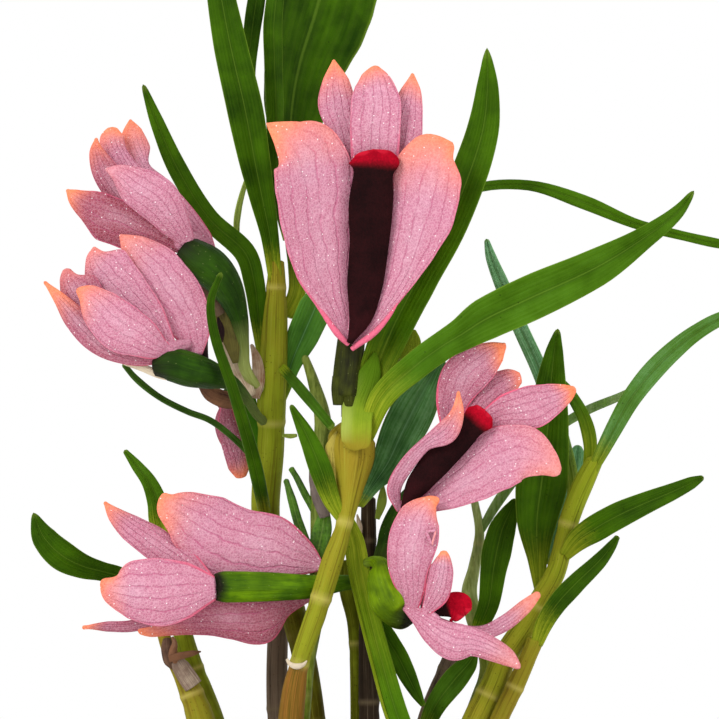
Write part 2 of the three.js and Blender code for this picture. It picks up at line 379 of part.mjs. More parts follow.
// Flowers. A tepal or lip has the way it faces, the fold of its halves in degrees, and [x, y, z, left half,
// right half] from its root to its tip. The foot is the [x, y, z, radius] core that all tepals grow from,
// the stalk is the ovary and its stalk back to a cane, and `on` names the pieces that the stalk meets.
const flowers = {
  centre: {
    tepals: {
      dorsal: { face: [0, -1, 0.1], fold: 10, rows: [
        [1.8, -10.6, 135, 2.6, 2.6], [1.9, -10.9, 138, 3, 3], [2, -11.2, 141.5, 3.2, 3.1],
        [2.3, -11.4, 144.7, 3.4, 2.9], [2.2, -11.2, 147, 2.8, 2.1], [2, -11.1, 148.4, 1.8, 1.3],
        [1.9, -11, 149.4, 0.3, 0.3],
      ] },
      left_petal: { face: [0.25, -1, 0], fold: 8, rows: [
        [0.2, -10.2, 135.5, 1.2, 1.2], [-0.9, -10.2, 138.4, 2.4, 1.6], [-1.8, -10.2, 141.4, 2.2, 2.1],
        [-2.7, -10.2, 144.6, 2.6, 2.3], [-3, -10, 147.6, 1.7, 1.7], [-3.2, -9.8, 150.2, 0.1, 0.1],
      ] },
      right_petal: { face: [-0.25, -1, 0], fold: 8, rows: [
        [3.9, -10.2, 135.5, 1.6, 3], [4.6, -10.2, 138.2, 2, 3.2], [5.3, -10.2, 141.4, 2.2, 2.7],
        [5.9, -10.2, 144.3, 1.9, 2.1], [6.3, -10, 146.5, 1.1, 1.4], [6.6, -9.8, 148.5, 0.1, 0.1],
      ] },
      left_sepal: { face: [0.45, -0.9, 0], fold: 5, rows: [
        [-1.5, -11.2, 115.1, 0.3, 0.3], [-3, -11.8, 119.1, 1.8, 2.2], [-4.8, -12.6, 124.4, 3.7, 4.2],
        [-5.6, -13.2, 129.7, 4.7, 5.2], [-6, -13.6, 134.9, 5.2, 5.9], [-7, -13.8, 138.6, 4.5, 5],
        [-8.9, -13.8, 140.4, 2.3, 2.6], [-11.5, -13.6, 142.2, 0.1, 0.1],
      ] },
      right_sepal: { face: [-0.45, -0.9, 0], fold: 5, rows: [
        [-0.7, -11.2, 114.7, 0.3, 0.3], [2.4, -11.9, 118.4, 1.1, 0.9], [4.8, -12.5, 122.3, 2.6, 1.7],
        [6.7, -13.1, 126.6, 4, 3], [8, -13.5, 131.1, 5, 4.4], [8.9, -13.7, 135.4, 5.3, 4.4],
        [10, -13.8, 138.4, 3.9, 2.4], [11.5, -13.6, 139.8, 0.4, 0.4],
      ] },
    },
    foot: [[-0.9, -11, 115.7, 0.8], [0.3, -10.6, 124.1, 1.1], [1.2, -9.9, 132.8, 1.6],
      [1.7, -9.7, 139.1, 1.6]],
    lip: { face: [0, -1, 0.1], fold: -12, rows: [
      [-1.2, -12.2, 115.1, 0.3, 0.3], [0.1, -12.6, 118.4, 1.5, 1.6], [0.7, -13, 122.6, 2.3, 2.3],
      [1.2, -13.4, 127.4, 2.5, 2.5], [1.4, -13.7, 132.2, 2.8, 2.8], [1.7, -13.9, 135.9, 2.5, 2.5],
      [1.8, -13.7, 137.5, 3.2, 3.2], [1.7, -13, 138.7, 2.3, 2.3],
    ] },
    stalk: [[0.8, -8.2, 131.1, 1.4], [0.2, -8, 125.9, 1.6], [-1, -8.4, 115.6, 1.65], [-1.7, -9.3, 109, 1.65],
      [-1.9, -9.5, 105.8, 1.2]],
    on: ["front", "tall_right"],
  },
  upper_left: {
    tepals: {
      dorsal: { face: [0, -1, -0.1], fold: -14, rows: [
        [-21.2, -9, 127.5, 1, 1], [-22.7, -10.6, 129.6, 2, 2], [-25.1, -12.2, 132.8, 2.9, 2.9],
        [-27.5, -12.6, 134.4, 2.6, 2.6], [-29.8, -12.4, 136, 1.3, 1.3], [-31.4, -12, 136.6, 0.1, 0.1],
      ] },
      left_petal: { face: [0, -1, -0.3], fold: -8, rows: [
        [-21.8, -8.4, 126.8, 0.6, 0.6], [-24.7, -8.9, 128.2, 2.2, 1.6], [-28.4, -9.2, 130.1, 3.8, 2.2],
        [-31.4, -9.2, 131.2, 3.8, 2.3], [-34, -8.8, 132.3, 1.9, 1.9], [-35.6, -8.2, 133.5, 1, 0.8],
        [-36.3, -7.8, 134.1, 0.1, 0.1],
      ] },
      left_sepal: { face: [0.1, -1, -0.2], fold: -8, rows: [
        [-21.8, -7.4, 127.1, 0.6, 0.6], [-26, -7.2, 130.1, 1.4, 1.4], [-29.5, -7, 133.2, 1.6, 1.8],
        [-31.6, -6.8, 136.3, 1.6, 1.8], [-32.6, -6.6, 138.8, 1, 1], [-32.7, -6.4, 140.6, 0.1, 0.1],
      ] },
      right_petal: { face: [0, -1, 0], fold: -8, rows: [
        [-21.5, -6.4, 127.5, 0.6, 0.6], [-24.8, -5.4, 131.4, 1.6, 1.6], [-27.5, -5, 135, 1.9, 1.5],
        [-29.8, -4.8, 138.5, 1.9, 1.1], [-30.7, -4.8, 140.6, 1.7, 1.5], [-30.7, -4.8, 142, 0.5, 0.5],
      ] },
      right_sepal: { face: [0, -1, 0.2], fold: -8, rows: [
        [-18, -4.6, 126.2, 0.3, 0.3], [-19.4, -4.4, 128.2, 1.6, 1.1], [-22.2, -4, 131.4, 2, 1.5],
        [-25, -3.4, 135, 2, 1.15], [-26.5, -3.2, 137.2, 2, 0.4], [-27.5, -3, 139.2, 1.9, 1.5],
        [-28.2, -3, 141.5, 1.5, 1.1], [-28.6, -3, 143, 0.1, 0.1],
      ] },
    },
    foot: [[-19.1, -4.6, 127.2, 0.8], [-20.6, -6, 127.5, 1.3], [-21.8, -7.4, 127.6, 1.6],
      [-23, -8, 128.6, 1.1]],
    lip: { face: [0, -1, 0], fold: -10, rows: [
      [-22.3, -6.2, 127.9, 0.4, 0.4], [-24.8, -6.3, 130.1, 1.1, 1.1], [-27.3, -6.2, 132.3, 1.4, 1.4],
      [-29.3, -6, 134.1, 1.1, 1.1],
    ] },
    stalk: [[-22, -7.6, 126.8, 1.9], [-20.2, -8, 125.5, 2.4], [-18.1, -8, 124.1, 2.4], [-16.4, -7.4, 121.9, 2],
      [-15, -6.2, 118.4, 1.2], [-14.5, -5, 115, 0.8], [-14.3, -4.2, 112.2, 0.75],
      [-13.2, -2.8, 110.2, 0.65], [-12, -1.2, 109.4, 0.6]],
    on: ["left", "left_arching"],
  },
  mid_left: {
    tepals: {
      dorsal: { face: [0, -1, -0.1], fold: -14, rows: [
        [-23.5, -13.6, 114, 0.8, 0.8], [-25.1, -15, 114.6, 1.9, 1.9], [-27, -16, 115.7, 2.7, 2.7],
        [-29.3, -16.4, 116.9, 3.2, 3.2], [-32, -16.4, 119.5, 2.7, 2.5], [-33.6, -16, 121, 1.5, 1.5],
        [-34.8, -15.6, 121.7, 0.3, 0.3],
      ] },
      left_petal: { face: [0, -1, -0.3], fold: -8, rows: [
        [-23.9, -13.2, 113, 0.5, 0.5], [-27.9, -14, 113.2, 1, 1.3], [-31.9, -14.4, 115, 1.6, 1.5],
        [-34.9, -14.2, 118, 1.6, 1.5], [-37, -13.8, 120.5, 0.8, 0.9], [-38.9, -13.4, 122.7, 0.1, 0.1],
      ] },
      left_sepal: { face: [0.1, -1, -0.2], fold: -8, rows: [
        [-23.6, -13, 114, 0.6, 0.6], [-29.5, -13.2, 116, 1.5, 1.5], [-33, -13.2, 118.9, 1.5, 2.6],
        [-35, -13, 121.5, 1.9, 3.1], [-35.9, -12.8, 123, 1.2, 1.5], [-36.2, -12.6, 124.3, 0.4, 0.4],
      ] },
      right_petal: { face: [0, -1, 0], fold: -8, rows: [
        [-23.1, -12.6, 114.6, 0.6, 0.6], [-25.9, -12.2, 118.4, 2.5, 2], [-29, -12, 121.8, 3.4, 2.8],
        [-31.4, -11.8, 124.3, 3.2, 3.3], [-32.5, -11.8, 125.8, 1.5, 1.5], [-32.8, -11.8, 127, 0.1, 0.1],
      ] },
      right_sepal: { face: [0, -1, 0.2], fold: -6, rows: [
        [-20, -10.8, 113.6, 1.3, 0.6], [-20.6, -10.6, 117.1, 2.9, 2.4], [-22.6, -10.5, 121, 3.5, 3.2],
        [-25.2, -10.4, 124.5, 3.3, 3], [-27.8, -10.4, 127, 2.2, 1.7], [-29.7, -10.6, 128.5, 0.1, 0.1],
      ] },
    },
    foot: [[-21, -10.9, 115, 1], [-22.2, -11.6, 114.7, 1.4], [-23.6, -13, 114.4, 1.6],
      [-25.1, -13.8, 115, 1.1]],
    lip: { face: [0, -1, 0], fold: -10, rows: [
      [-24.6, -13, 115.1, 0.4, 0.4], [-27.1, -13, 116.7, 1, 1], [-29.3, -13, 118.4, 1.1, 1.1],
      [-31, -13, 120, 0.9, 0.9],
    ] },
    stalk: [[-25.6, -12.8, 112.2, 1.1], [-23.6, -12.8, 112.5, 2], [-21.2, -12.4, 111.9, 2.1],
      [-18.6, -11, 111.2, 1.75], [-16.1, -8.4, 110.3, 1], [-14.3, -6.2, 108.6, 0.7],
      [-12.8, -3.4, 106.2, 0.6], [-11.8, -0.8, 105.2, 0.6]],
    on: ["left"],
  },
  lower_left: {
    tepals: {
      dorsal: { face: [-0.1, -1, 0], fold: -10, rows: [
        [-17.8, -10, 84.8, 1.5, 1.5], [-21, -11, 84.6, 3.5, 3.5], [-24.6, -11.8, 84.3, 4.3, 4.3],
        [-28.3, -12.2, 84.4, 3.4, 3.9], [-30.6, -12.2, 84.8, 1.9, 2.2], [-31.9, -12, 85.8, 0.3, 0.3],
      ] },
      left_petal: { face: [0, -1, 0.3], fold: -8, rows: [
        [-19, -8.8, 85.4, 1.3, 1.3], [-22, -7.6, 87.9, 2.2, 2], [-25.4, -7.2, 90.3, 2.1, 2.1],
        [-28.3, -7, 92.3, 1.8, 1.6], [-30.3, -7, 93.9, 1.1, 0.9], [-31.7, -7, 95.4, 0.1, 0.1],
      ] },
      right_petal: { face: [0, -1, -0.4], fold: -8, rows: [
        [-19, -8.8, 84.1, 1.1, 1.1], [-24.1, -8.4, 81.3, 1.1, 1.1], [-28.1, -8, 80, 0.8, 0.8],
        [-31.2, -7.8, 79.9, 0.7, 0.7], [-32.9, -7.8, 79.9, 0.4, 0.4], [-34.4, -7.8, 79.8, 0.1, 0.1],
      ] },
      left_sepal: { face: [0, -1, 0.15], fold: -6, rows: [
        [-4.4, -5.6, 87.1, 0.3, 0.3], [-7.2, -5.6, 88.5, 2.9, 2.4], [-11.1, -5.8, 90, 5.3, 3.9],
        [-14.8, -6.2, 91.1, 5.8, 3.6], [-18.3, -6.8, 92.4, 5.2, 3.9], [-21.4, -7.4, 94.3, 4.1, 2.6],
        [-23.6, -7.8, 95.4, 2.2, 1.3], [-24.5, -7.8, 96.4, 0.4, 0.3],
      ] },
      right_sepal: { face: [0, -1, -0.35], fold: -6, rows: [
        [-6, -6, 83.4, 0.3, 0.3], [-9.2, -6.4, 82.4, 1.4, 1.8], [-12.4, -7, 81.1, 3.8, 3.2],
        [-15.8, -7.4, 81.1, 3.1, 3.2], [-19.3, -7.6, 81, 2.4, 2.6], [-23.3, -7.8, 80.5, 1.9, 1.8],
        [-26, -7.8, 79.6, 1.1, 0.9], [-27.5, -7.8, 79.4, 0.4, 0.4],
      ] },
    },
    foot: [[-6.7, -5.6, 85.3, 0.8], [-12.1, -5.6, 85.3, 1.3], [-17.1, -7, 84.9, 1.5],
      [-20.2, -9.6, 84.8, 1.7]],
    lip: { face: [0, -1, 0], fold: 10, rows: [
      [-8.6, -4.6, 84.6, 0.4, 0.4], [-13.6, -4.6, 84.6, 1.5, 1.5], [-18, -4.8, 84.6, 1.8, 1.8],
      [-21.7, -5, 84.9, 1.8, 1.8], [-23.3, -5, 84.9, 1.5, 1.5],
    ] },
    stalk: [[-17.8, -9.4, 84.9, 1.7], [-16.5, -9, 84.9, 2], [-11.8, -8.6, 84.9, 1.9],
      [-5.9, -7, 84.9, 1.5], [-1.8, -4.9, 85.3, 1], [0.6, -3.2, 85.2, 0.8]],
    on: ["middle_brown", "front"],
  },
  right: {
    tepals: {
      dorsal: { face: [-0.2, -1, 0.2], fold: 8, rows: [
        [13.2, -9.6, 104.1, 1, 1], [14.9, -8.6, 107.3, 1.7, 1.6], [16.8, -8, 109.3, 2, 1.8],
        [18.8, -7.8, 110.5, 1.5, 1.8], [20.1, -7.8, 110.8, 0.6, 0.6],
      ] },
      left_petal: { face: [0.2, -1, -0.1], fold: 6, rows: [
        [11.2, -9.4, 103.8, 1, 1], [11.6, -9.2, 108.2, 2.3, 2.2], [12.9, -9.2, 111, 2.9, 2.9],
        [14.9, -9.3, 113.1, 2.1, 2.8], [16.9, -9.4, 114.4, 1, 1.7], [18.1, -9.6, 115, 0.1, 0.3],
      ] },
      right_petal: { face: [-0.1, -1, 0.2], fold: 6, rows: [
        [14.7, -10.2, 105.1, 0.9, 0.9], [18.4, -11, 106.6, 2.3, 2], [21.4, -11.4, 107.2, 2.7, 2.8],
        [24, -11.7, 108.2, 2, 2], [25.8, -11.9, 109, 1.1, 1.1], [26.7, -12, 109.5, 0.3, 0.3],
      ] },
      left_sepal: { face: [0.3, -1, -0.1], fold: 6, rows: [
        [4.9, -10.6, 94.3, 0.3, 0.3], [4.3, -11.6, 97.1, 1, 0.9], [5.6, -12.8, 99.8, 1, 1],
        [7.9, -14, 102.4, 0.9, 0.8], [10.5, -15, 104.3, 1.3, 1.7], [11.9, -15.4, 106.5, 0.8, 1],
        [12.2, -15.6, 109.2, 0.1, 0.1],
      ] },
      right_sepal: { face: [-0.3, -0.95, 0.3], fold: 5, rows: [
        [5.5, -10.4, 94.1, 0.3, 0.3], [7.6, -10.8, 94.8, 0.9, 0.9], [10.3, -11.4, 96.4, 2.3, 2.3],
        [14.3, -12.2, 98.8, 3.5, 3.6], [17.3, -12.8, 100.7, 4.1, 4.1], [20.4, -13.4, 101.4, 3.6, 3.6],
        [22.9, -13.6, 100.4, 2, 2], [24.7, -13.4, 98.9, 0.5, 0.5],
      ] },
    },
    foot: [[5.5, -10.4, 94.6, 0.9], [9, -10, 98.9, 1.1], [12.7, -9.6, 103.1, 1.7],
      [14.9, -9.8, 105.6, 1.3]],
    lip: { face: [0, -1, 0], fold: -10, rows: [
      [5.4, -12, 94.6, 0.4, 0.4], [7.2, -12.6, 97.6, 1.5, 1.5], [9.7, -13, 100.5, 1.9, 1.8],
      [12, -13.2, 103, 1.8, 1.8], [13.6, -13.3, 104.8, 1.5, 1.7], [14.7, -13.2, 106.1, 1.7, 2.2],
      [15.2, -12.8, 106.7, 1.1, 1.6],
    ] },
    stalk: [[12.7, -7.6, 103.1, 1.3], [9.5, -5.4, 98.8, 1.3], [5.6, -4, 95, 1.3], [3.8, -3.6, 92, 1.2],
      [3.1, -3.4, 89.4, 1.1], [2.2, -2.8, 87.8, 0.8], [1.3, -2.2, 87.2, 0.6]],
    on: ["middle_brown", "right_blue"],
  },
  lower_right: {
    tepals: {
      dorsal: { face: [-0.2, -1, 0], fold: -12, rows: [
        [6.4, -11.6, 81.9, 0.8, 0.8], [6.4, -12.8, 84.6, 2.1, 1.7], [6.1, -13.8, 87.6, 2.9, 2.6],
        [6.6, -14.4, 90.8, 3.3, 3.1], [7.5, -14.4, 93.8, 2.7, 2.6], [8.8, -14, 95.4, 1.1, 1.1],
        [9.8, -13.6, 95.9, 0.3, 0.3],
      ] },
      left_petal: { face: [-0.3, -1, 0], fold: -8, rows: [
        [8, -12.4, 81.6, 0.5, 0.5], [9.6, -13.8, 84.5, 1.7, 1.6], [10.2, -14.4, 87, 1.7, 1.4],
        [10.4, -14.4, 88.7, 1, 0.8], [10.4, -14.2, 89.5, 0.4, 0.3],
      ] },
      right_petal: { face: [0.2, -1, 0], fold: -8, rows: [
        [8, -10.4, 81.8, 0.5, 0.5], [8.7, -10.4, 84.5, 1.1, 1.1], [9.2, -10.4, 86.7, 1, 1],
        [9.5, -10.4, 88.3, 0.1, 0.1],
      ] },
      left_sepal: { face: [0, -1, 0.2], fold: -6, rows: [
        [5.5, -11.6, 82.4, 0.3, 0.3], [7.2, -12.6, 81.3, 0.9, 1], [9.4, -13.6, 79.7, 1.6, 2],
        [11.8, -14.2, 78.4, 2.3, 2.5], [14.1, -14.4, 78.1, 1.9, 1.6], [16.3, -14.4, 77.4, 1.5, 1.5],
        [18.3, -14.2, 76.3, 1.1, 1.1], [19.8, -14, 75, 0.3, 0.3],
      ] },
      right_sepal: { face: [0, -1, 0.2], fold: 0, rows: [
        [8, -10.8, 81.3, 0.6, 0.6], [11.8, -10.4, 79.5, 1, 1], [15.2, -10.2, 79.25, 0.9, 0.9],
        [17.9, -10, 80.4, 1, 1], [20.4, -9.8, 82.4, 0.9, 0.9], [22.3, -9.6, 84.2, 0.4, 0.4],
      ] },
    },
    foot: [[6, -11.2, 82.2, 1.1], [7.2, -11.6, 81.7, 1.3], [8.7, -12.2, 81.5, 1.1],
      [9.9, -12.8, 80.7, 0.8]],
    lip: { face: [-0.2, -1, 0], fold: 0, rows: [
      [8.2, -12, 81.8, 0.4, 0.4], [9.9, -12, 82.2, 0.9, 0.9], [11.3, -12, 82.6, 1.7, 1.6],
      [12.3, -12.2, 82.4, 1.9, 2], [12.9, -12.4, 81.7, 1.1, 1.5],
    ] },
    stalk: [[6.3, -10.6, 80.9, 1.2], [5.3, -9.9, 81.7, 2.4], [4.1, -9.6, 83.5, 3], [3.1, -9.6, 85.8, 2.3],
      [2.7, -8.8, 87.4, 1.2], [1.8, -7.6, 88, 0.7], [0.8, -6.6, 87.8, 0.6]],
    on: ["strap_down"],
  },
  back_left: {
    tepals: {
      dorsal: { face: [0, -1, 0], fold: -8, rows: [
        [-16.7, 2.8, 107.7, 0.6, 0.6], [-16.5, 2.2, 105, 1.1, 1.3], [-15.7, 1.8, 102.1, 1.4, 1.5],
        [-15.1, 1.9, 99.7, 1.4, 1.4], [-14.8, 2.2, 98.2, 0.6, 0.6],
      ] },
      left_petal: { face: [-0.2, -1, 0], fold: -8, rows: [
        [-16.7, 3.6, 107.7, 0.5, 0.5], [-17.2, 3.6, 105.3, 1, 1], [-16.7, 3.4, 103.1, 1, 1],
        [-15.9, 3.4, 100.7, 0.1, 0.1],
      ] },
      right_petal: { face: [0, -1, 0.2], fold: -8, rows: [
        [-16.7, 3.4, 107.7, 0.5, 0.5], [-15, 3.4, 107.6, 0.8, 0.8], [-13.7, 3.6, 107.1, 0.9, 0.9],
        [-12.4, 3.8, 106.2, 0.3, 0.3],
      ] },
      left_sepal: { face: [0.2, -1, 0], fold: -8, rows: [
        [-16.5, 4.4, 107.7, 0.5, 0.5], [-15.5, 4.4, 105, 1.2, 1.2], [-14.6, 4.2, 102.3, 1.2, 1.2],
        [-14.2, 4.2, 100.2, 0.1, 0.1],
      ] },
      right_sepal: { face: [0.3, -1, 0], fold: -8, rows: [
        [-16.5, 4.6, 107.7, 0.5, 0.5], [-16.1, 5, 105, 1.2, 1.2], [-15.4, 5, 102.2, 1.2, 1.2],
        [-14.9, 5, 99.7, 0.1, 0.1],
      ] },
    },
    foot: [[-17.2, 3.6, 108.5, 1], [-16.7, 3.6, 107.7, 1.3], [-16.5, 3.6, 106.7, 1]],
    stalk: [[-16.7, 3.6, 108, 0.8], [-16, 3, 109.2, 0.8], [-13.7, 1.6, 110, 0.7],
      [-11.4, 0.6, 110, 0.6]],
    on: ["left"],
  },
};

// Pot: a tapered clay wall with a thicker rim, open at the top, with drain holes through its floor
const radiusAt = (z) => POT_BASE_RADIUS + ((POT_TOP_RADIUS - POT_RIM_LIP - POT_BASE_RADIUS) * z) / POT_HEIGHT;
const RIM_FOOT = POT_HEIGHT - POT_RIM_HEIGHT;
const potProfile = [
  [0, 0], [POT_BASE_RADIUS - 1, 0], [POT_BASE_RADIUS, 1], [radiusAt(RIM_FOOT), RIM_FOOT],
  [POT_TOP_RADIUS - 0.8, RIM_FOOT], [POT_TOP_RADIUS - 0.2, RIM_FOOT + 1], [POT_TOP_RADIUS, POT_HEIGHT - 1],
  [POT_TOP_RADIUS - 1, POT_HEIGHT], [POT_TOP_RADIUS - POT_WALL, POT_HEIGHT],
  [radiusAt(RIM_FOOT) - POT_WALL, RIM_FOOT - 4], [radiusAt(POT_WALL) - POT_WALL, POT_WALL], [0, POT_WALL],
];
const POT_SEGMENTS = 28;
function lathe(profile) {
  const geometry = new THREE.LatheGeometry(profile.map(([r, z]) => new THREE.Vector2(r, z)), POT_SEGMENTS);
  return solid(geometry.rotateX(Math.PI / 2));
}
let pot = lathe(potProfile);
for (let k = 0; k < DRAINS; k++) {
  const angle = (2 * Math.PI * k) / DRAINS + Math.PI / 2;
  const drain = new THREE.CylinderGeometry(DRAIN_RADIUS, DRAIN_RADIUS, POT_WALL * 4, 12).rotateX(Math.PI / 2);
  drain.translate(DRAIN_RING * Math.cos(angle), DRAIN_RING * Math.sin(angle), 0);
  pot = pot.subtract(solid(drain));
}
orchid.add(mesh("pot", pot, clay));

// Potting medium: fills the pot to SOIL_LEVEL, with a lumpy top and a plain hole for each cane
const soilRadius = (z) => {
  const knee = RIM_FOOT - 4;
  const low = radiusAt(POT_WALL) - POT_WALL;
  const high = radiusAt(RIM_FOOT) - POT_WALL;
  if (z < knee) return low + ((high - low) * (z - POT_WALL)) / (knee - POT_WALL) - GAP;
  return high + ((POT_TOP_RADIUS - POT_WALL - high) * (z - knee)) / (POT_HEIGHT - knee) - GAP;
};
function mediumSolid() {
  const rings = 4;
  const profile = [[0, POT_WALL + GAP], [soilRadius(POT_WALL), POT_WALL + GAP]];
  profile.push([soilRadius(RIM_FOOT - 4), RIM_FOOT - 4]);
  for (let k = rings; k >= 0; k--) profile.push([(soilRadius(SOIL_LEVEL) * k) / rings, SOIL_LEVEL]);
  const geometry = new THREE.LatheGeometry(profile.map(([r, z]) => new THREE.Vector2(r, z)), POT_SEGMENTS);
  geometry.rotateX(Math.PI / 2);
  const position = geometry.attributes.position;
  const edge = soilRadius(SOIL_LEVEL) - 0.1;
  for (let i = 0; i < position.count; i++) {
    const [x, y, z] = [position.getX(i), position.getY(i), position.getZ(i)];
    if (z < SOIL_LEVEL - 0.1 || Math.hypot(x, y) > edge) continue;
    position.setZ(i, z + SOIL_BUMP * Math.sin(0.61 * x + 1.3) * Math.cos(0.53 * y + 0.4 * x));
  }
  return solid(geometry);
}

const caneGroup = new THREE.Group();
orchid.add(caneGroup);
let medium = mediumSolid();
const brownCanes = ["middle_brown", "old_brown", "old_grey"];
for (const [name, rows] of Object.entries(canes)) {
  rooms[name] = stem(rows, { grow: GAP });
  medium = medium.subtract(rooms[name]);
  caneGroup.add(mesh("cane_" + name, stem(rows), brownCanes.includes(name) ? caneBrown : caneGreen));
}

const leafRows = (rows) => rows.map(([x, y, z, half, roll]) => [x, y, z, half, half, roll]);
for (const [name, shoot] of Object.entries(shoots)) {
  const small = { steps: 7, thick: LEAF_THICK, fold: 10 };
  let made = stem(shoot.stem, { sides: STALK_SIDES });
  let room = stem(shoot.stem, { sides: STALK_SIDES, grow: GAP });
  for (const rows of shoot.leaves) {
    made = made.add(blade(leafRows(rows), small));
    room = room.add(blade(leafRows(rows), { ...small, grow: GAP }));
  }
  rooms["shoot_" + name] = room;
  medium = medium.subtract(room);
  caneGroup.add(mesh("shoot_" + name, made, caneGreen));
}
orchid.add(mesh("potting_medium", medium, bark));

// Leaves, each cut clear of the cane it clasps and of the leaf whose foot it shares
const leafGroup = new THREE.Group();
orchid.add(leafGroup);
const blueLeaves = ["centre_blue", "right_blue", "edge_right"];
for (const [name, { on, fold, rows }] of Object.entries(leaves)) {
  const form = { steps: Math.min(LEAF_STEPS, rows.length + 3), thick: LEAF_THICK, fold };
  let made = blade(leafRows(rows), form);
  for (const neighbour of on) made = made.subtract(rooms[neighbour]);
  rooms[name] = blade(leafRows(rows), { ...form, grow: GAP });
  leafGroup.add(mesh("leaf_" + name, made, blueLeaves.includes(name) ? leafBlue : leafGreen));
}

// A flower: five tepals rooted in one foot, the lip over them and the ovary behind, each cut clear of the next
function flower(name, { tepals, foot, lip, stalk, on }) {
  const tepalBlade = ({ face, fold, rows }, thick, grow = 0) =>
    blade(rows.map((row) => [...row, 0]), { steps: rows.length - 1, thick, fold, face, grow });
  let crown = stem(foot, { steps: foot.length, sides: STALK_SIDES });
  for (const tepal of Object.values(tepals)) crown = crown.add(tepalBlade(tepal, TEPAL_THICK));
  const stalkRoom = stem(stalk, { steps: STALK_STEPS, sides: STALK_SIDES, grow: GAP });
  crown = crown.subtract(stalkRoom);
  if (lip) {
    crown = crown.subtract(tepalBlade(lip, LIP_THICK, GAP));
    orchid.add(mesh(name + "_lip", tepalBlade(lip, LIP_THICK).subtract(stalkRoom), lipDark));
  }
  orchid.add(mesh(name + "_tepals", crown, tepalPink));
  let ovary = stem(stalk, { steps: STALK_STEPS, sides: STALK_SIDES });
  for (const neighbour of on) ovary = ovary.subtract(rooms[neighbour]);
  orchid.add(mesh(name + "_ovary", ovary, ovaryGreen));
}
for (const [name, made] of Object.entries(flowers)) flower("flower_" + name, made);

export default orchid;
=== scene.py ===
import math
import random

import bmesh
import bpy
from mathutils import Matrix, Vector


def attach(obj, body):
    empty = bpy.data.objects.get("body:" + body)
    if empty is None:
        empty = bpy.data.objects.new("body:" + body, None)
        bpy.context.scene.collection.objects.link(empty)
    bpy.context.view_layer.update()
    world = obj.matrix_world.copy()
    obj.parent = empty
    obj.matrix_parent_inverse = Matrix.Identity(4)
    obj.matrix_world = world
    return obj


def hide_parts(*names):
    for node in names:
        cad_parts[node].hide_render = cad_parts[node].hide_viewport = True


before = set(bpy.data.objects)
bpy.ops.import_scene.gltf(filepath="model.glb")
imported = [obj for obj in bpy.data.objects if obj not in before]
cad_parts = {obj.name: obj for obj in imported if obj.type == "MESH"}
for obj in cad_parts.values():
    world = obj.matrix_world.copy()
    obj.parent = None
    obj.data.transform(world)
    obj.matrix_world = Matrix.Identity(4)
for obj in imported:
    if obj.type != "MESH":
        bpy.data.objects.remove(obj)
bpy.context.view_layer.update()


# The pot is a plain terracotta flower pot, thrown on a wheel and fired without glaze, so rings from the
# thrower's fingers run round it and salts bloom on its foot and rim. Three drain holes go through its floor.
POT_HEIGHT = .054
POT_TOP_RADIUS = .032
POT_BASE_RADIUS = .023
POT_WALL = .0032
POT_RIM_HEIGHT = .009
POT_RIM_LIP = .0022
DRAIN_RADIUS = .003
DRAIN_RING = .011
DRAINS = 3
THROWING_RING = .00012
RIM_FOOT = POT_HEIGHT - POT_RIM_HEIGHT


def colour(code):
    """A colour written as six hexadecimal digits, in the linear numbers that a socket takes."""
    parts = [int(code[k:k + 2], 16) / 255 for k in (0, 2, 4)]
    return (*(c / 12.92 if c <= .04045 else ((c + .055) / 1.055) ** 2.4 for c in parts), 1)


class Wire:
    """A socket's output inside a material. Sums and products of wires and numbers add their own nodes."""

    def __init__(self, tree, socket=None):
        self.tree, self.socket = tree, socket

    def node(self, kind, settings=None, sockets=None, output=0):
        """Adds a node: first its settings, then the values or links of its sockets; returns one output."""
        made = self.tree.nodes.new("ShaderNode" + kind)
        for key, value in (settings or {}).items():
            setattr(made, key, value)
        for key, value in (sockets or {}).items():
            if isinstance(value, Wire):
                self.tree.links.new(value.socket, made.inputs[key])
            else:
                made.inputs[key].default_value = value
        return Wire(self.tree, made.outputs[output]) if made.outputs else made

    def beside(self, output):
        """Another output of the same node."""
        return Wire(self.tree, self.socket.node.outputs[output])

    def maths(self, operation, *values):
        """A Math node on the values given, the wire itself only where it is one of them."""
        return self.node("Math", {"operation": operation}, dict(enumerate(values)))

    def __add__(self, other):
        return self.maths("ADD", self, other)

    def __sub__(self, other):
        return self.maths("SUBTRACT", self, other)

    def __rsub__(self, other):
        return self.maths("SUBTRACT", other, self)

    def __mul__(self, other):
        return self.maths("MULTIPLY", self, other)

    __radd__ = __add__
    __rmul__ = __mul__

    def __abs__(self):
        return self.maths("ABSOLUTE", self)

    def mark(self, name):
        """The vector that the points of the mesh carry under that name."""
        return self.node("Attribute", {"attribute_name": name}, output="Vector")

    def split(self):
        """The X of a vector; its Y and Z are beside it."""
        return self.node("SeparateXYZ", sockets={0: self})

    def stretched(self, *scales):
        """A vector with its X, Y and Z each multiplied by a number."""
        return self.node("VectorMath", {"operation": "MULTIPLY"}, {0: self, 1: scales})

    def ramp(self, low, high):
        """From 0 where the wire is at low, smoothly up to 1 where it is at high."""
        sockets = {"Value": self, "From Min": low, "From Max": high}
        return self.node("MapRange", {"interpolation_type": "SMOOTHSTEP"}, sockets)

    def stripe(self, count, width):
        """1 on the middle of each of `count` lines per unit, falling to 0 at `width` of their spacing."""
        return 1 - abs(self.maths("FRACT", self * count) - .5).ramp(0, width)

    def blend(self, first, second):
        """The first colour where the wire is 0, the second where it is 1: wires, or six digits."""
        first, second = (colour(given) if isinstance(given, str) else given for given in (first, second))
        return self.node("Mix", {"data_type": "RGBA"}, {0: self, 6: first, 7: second}, 2)


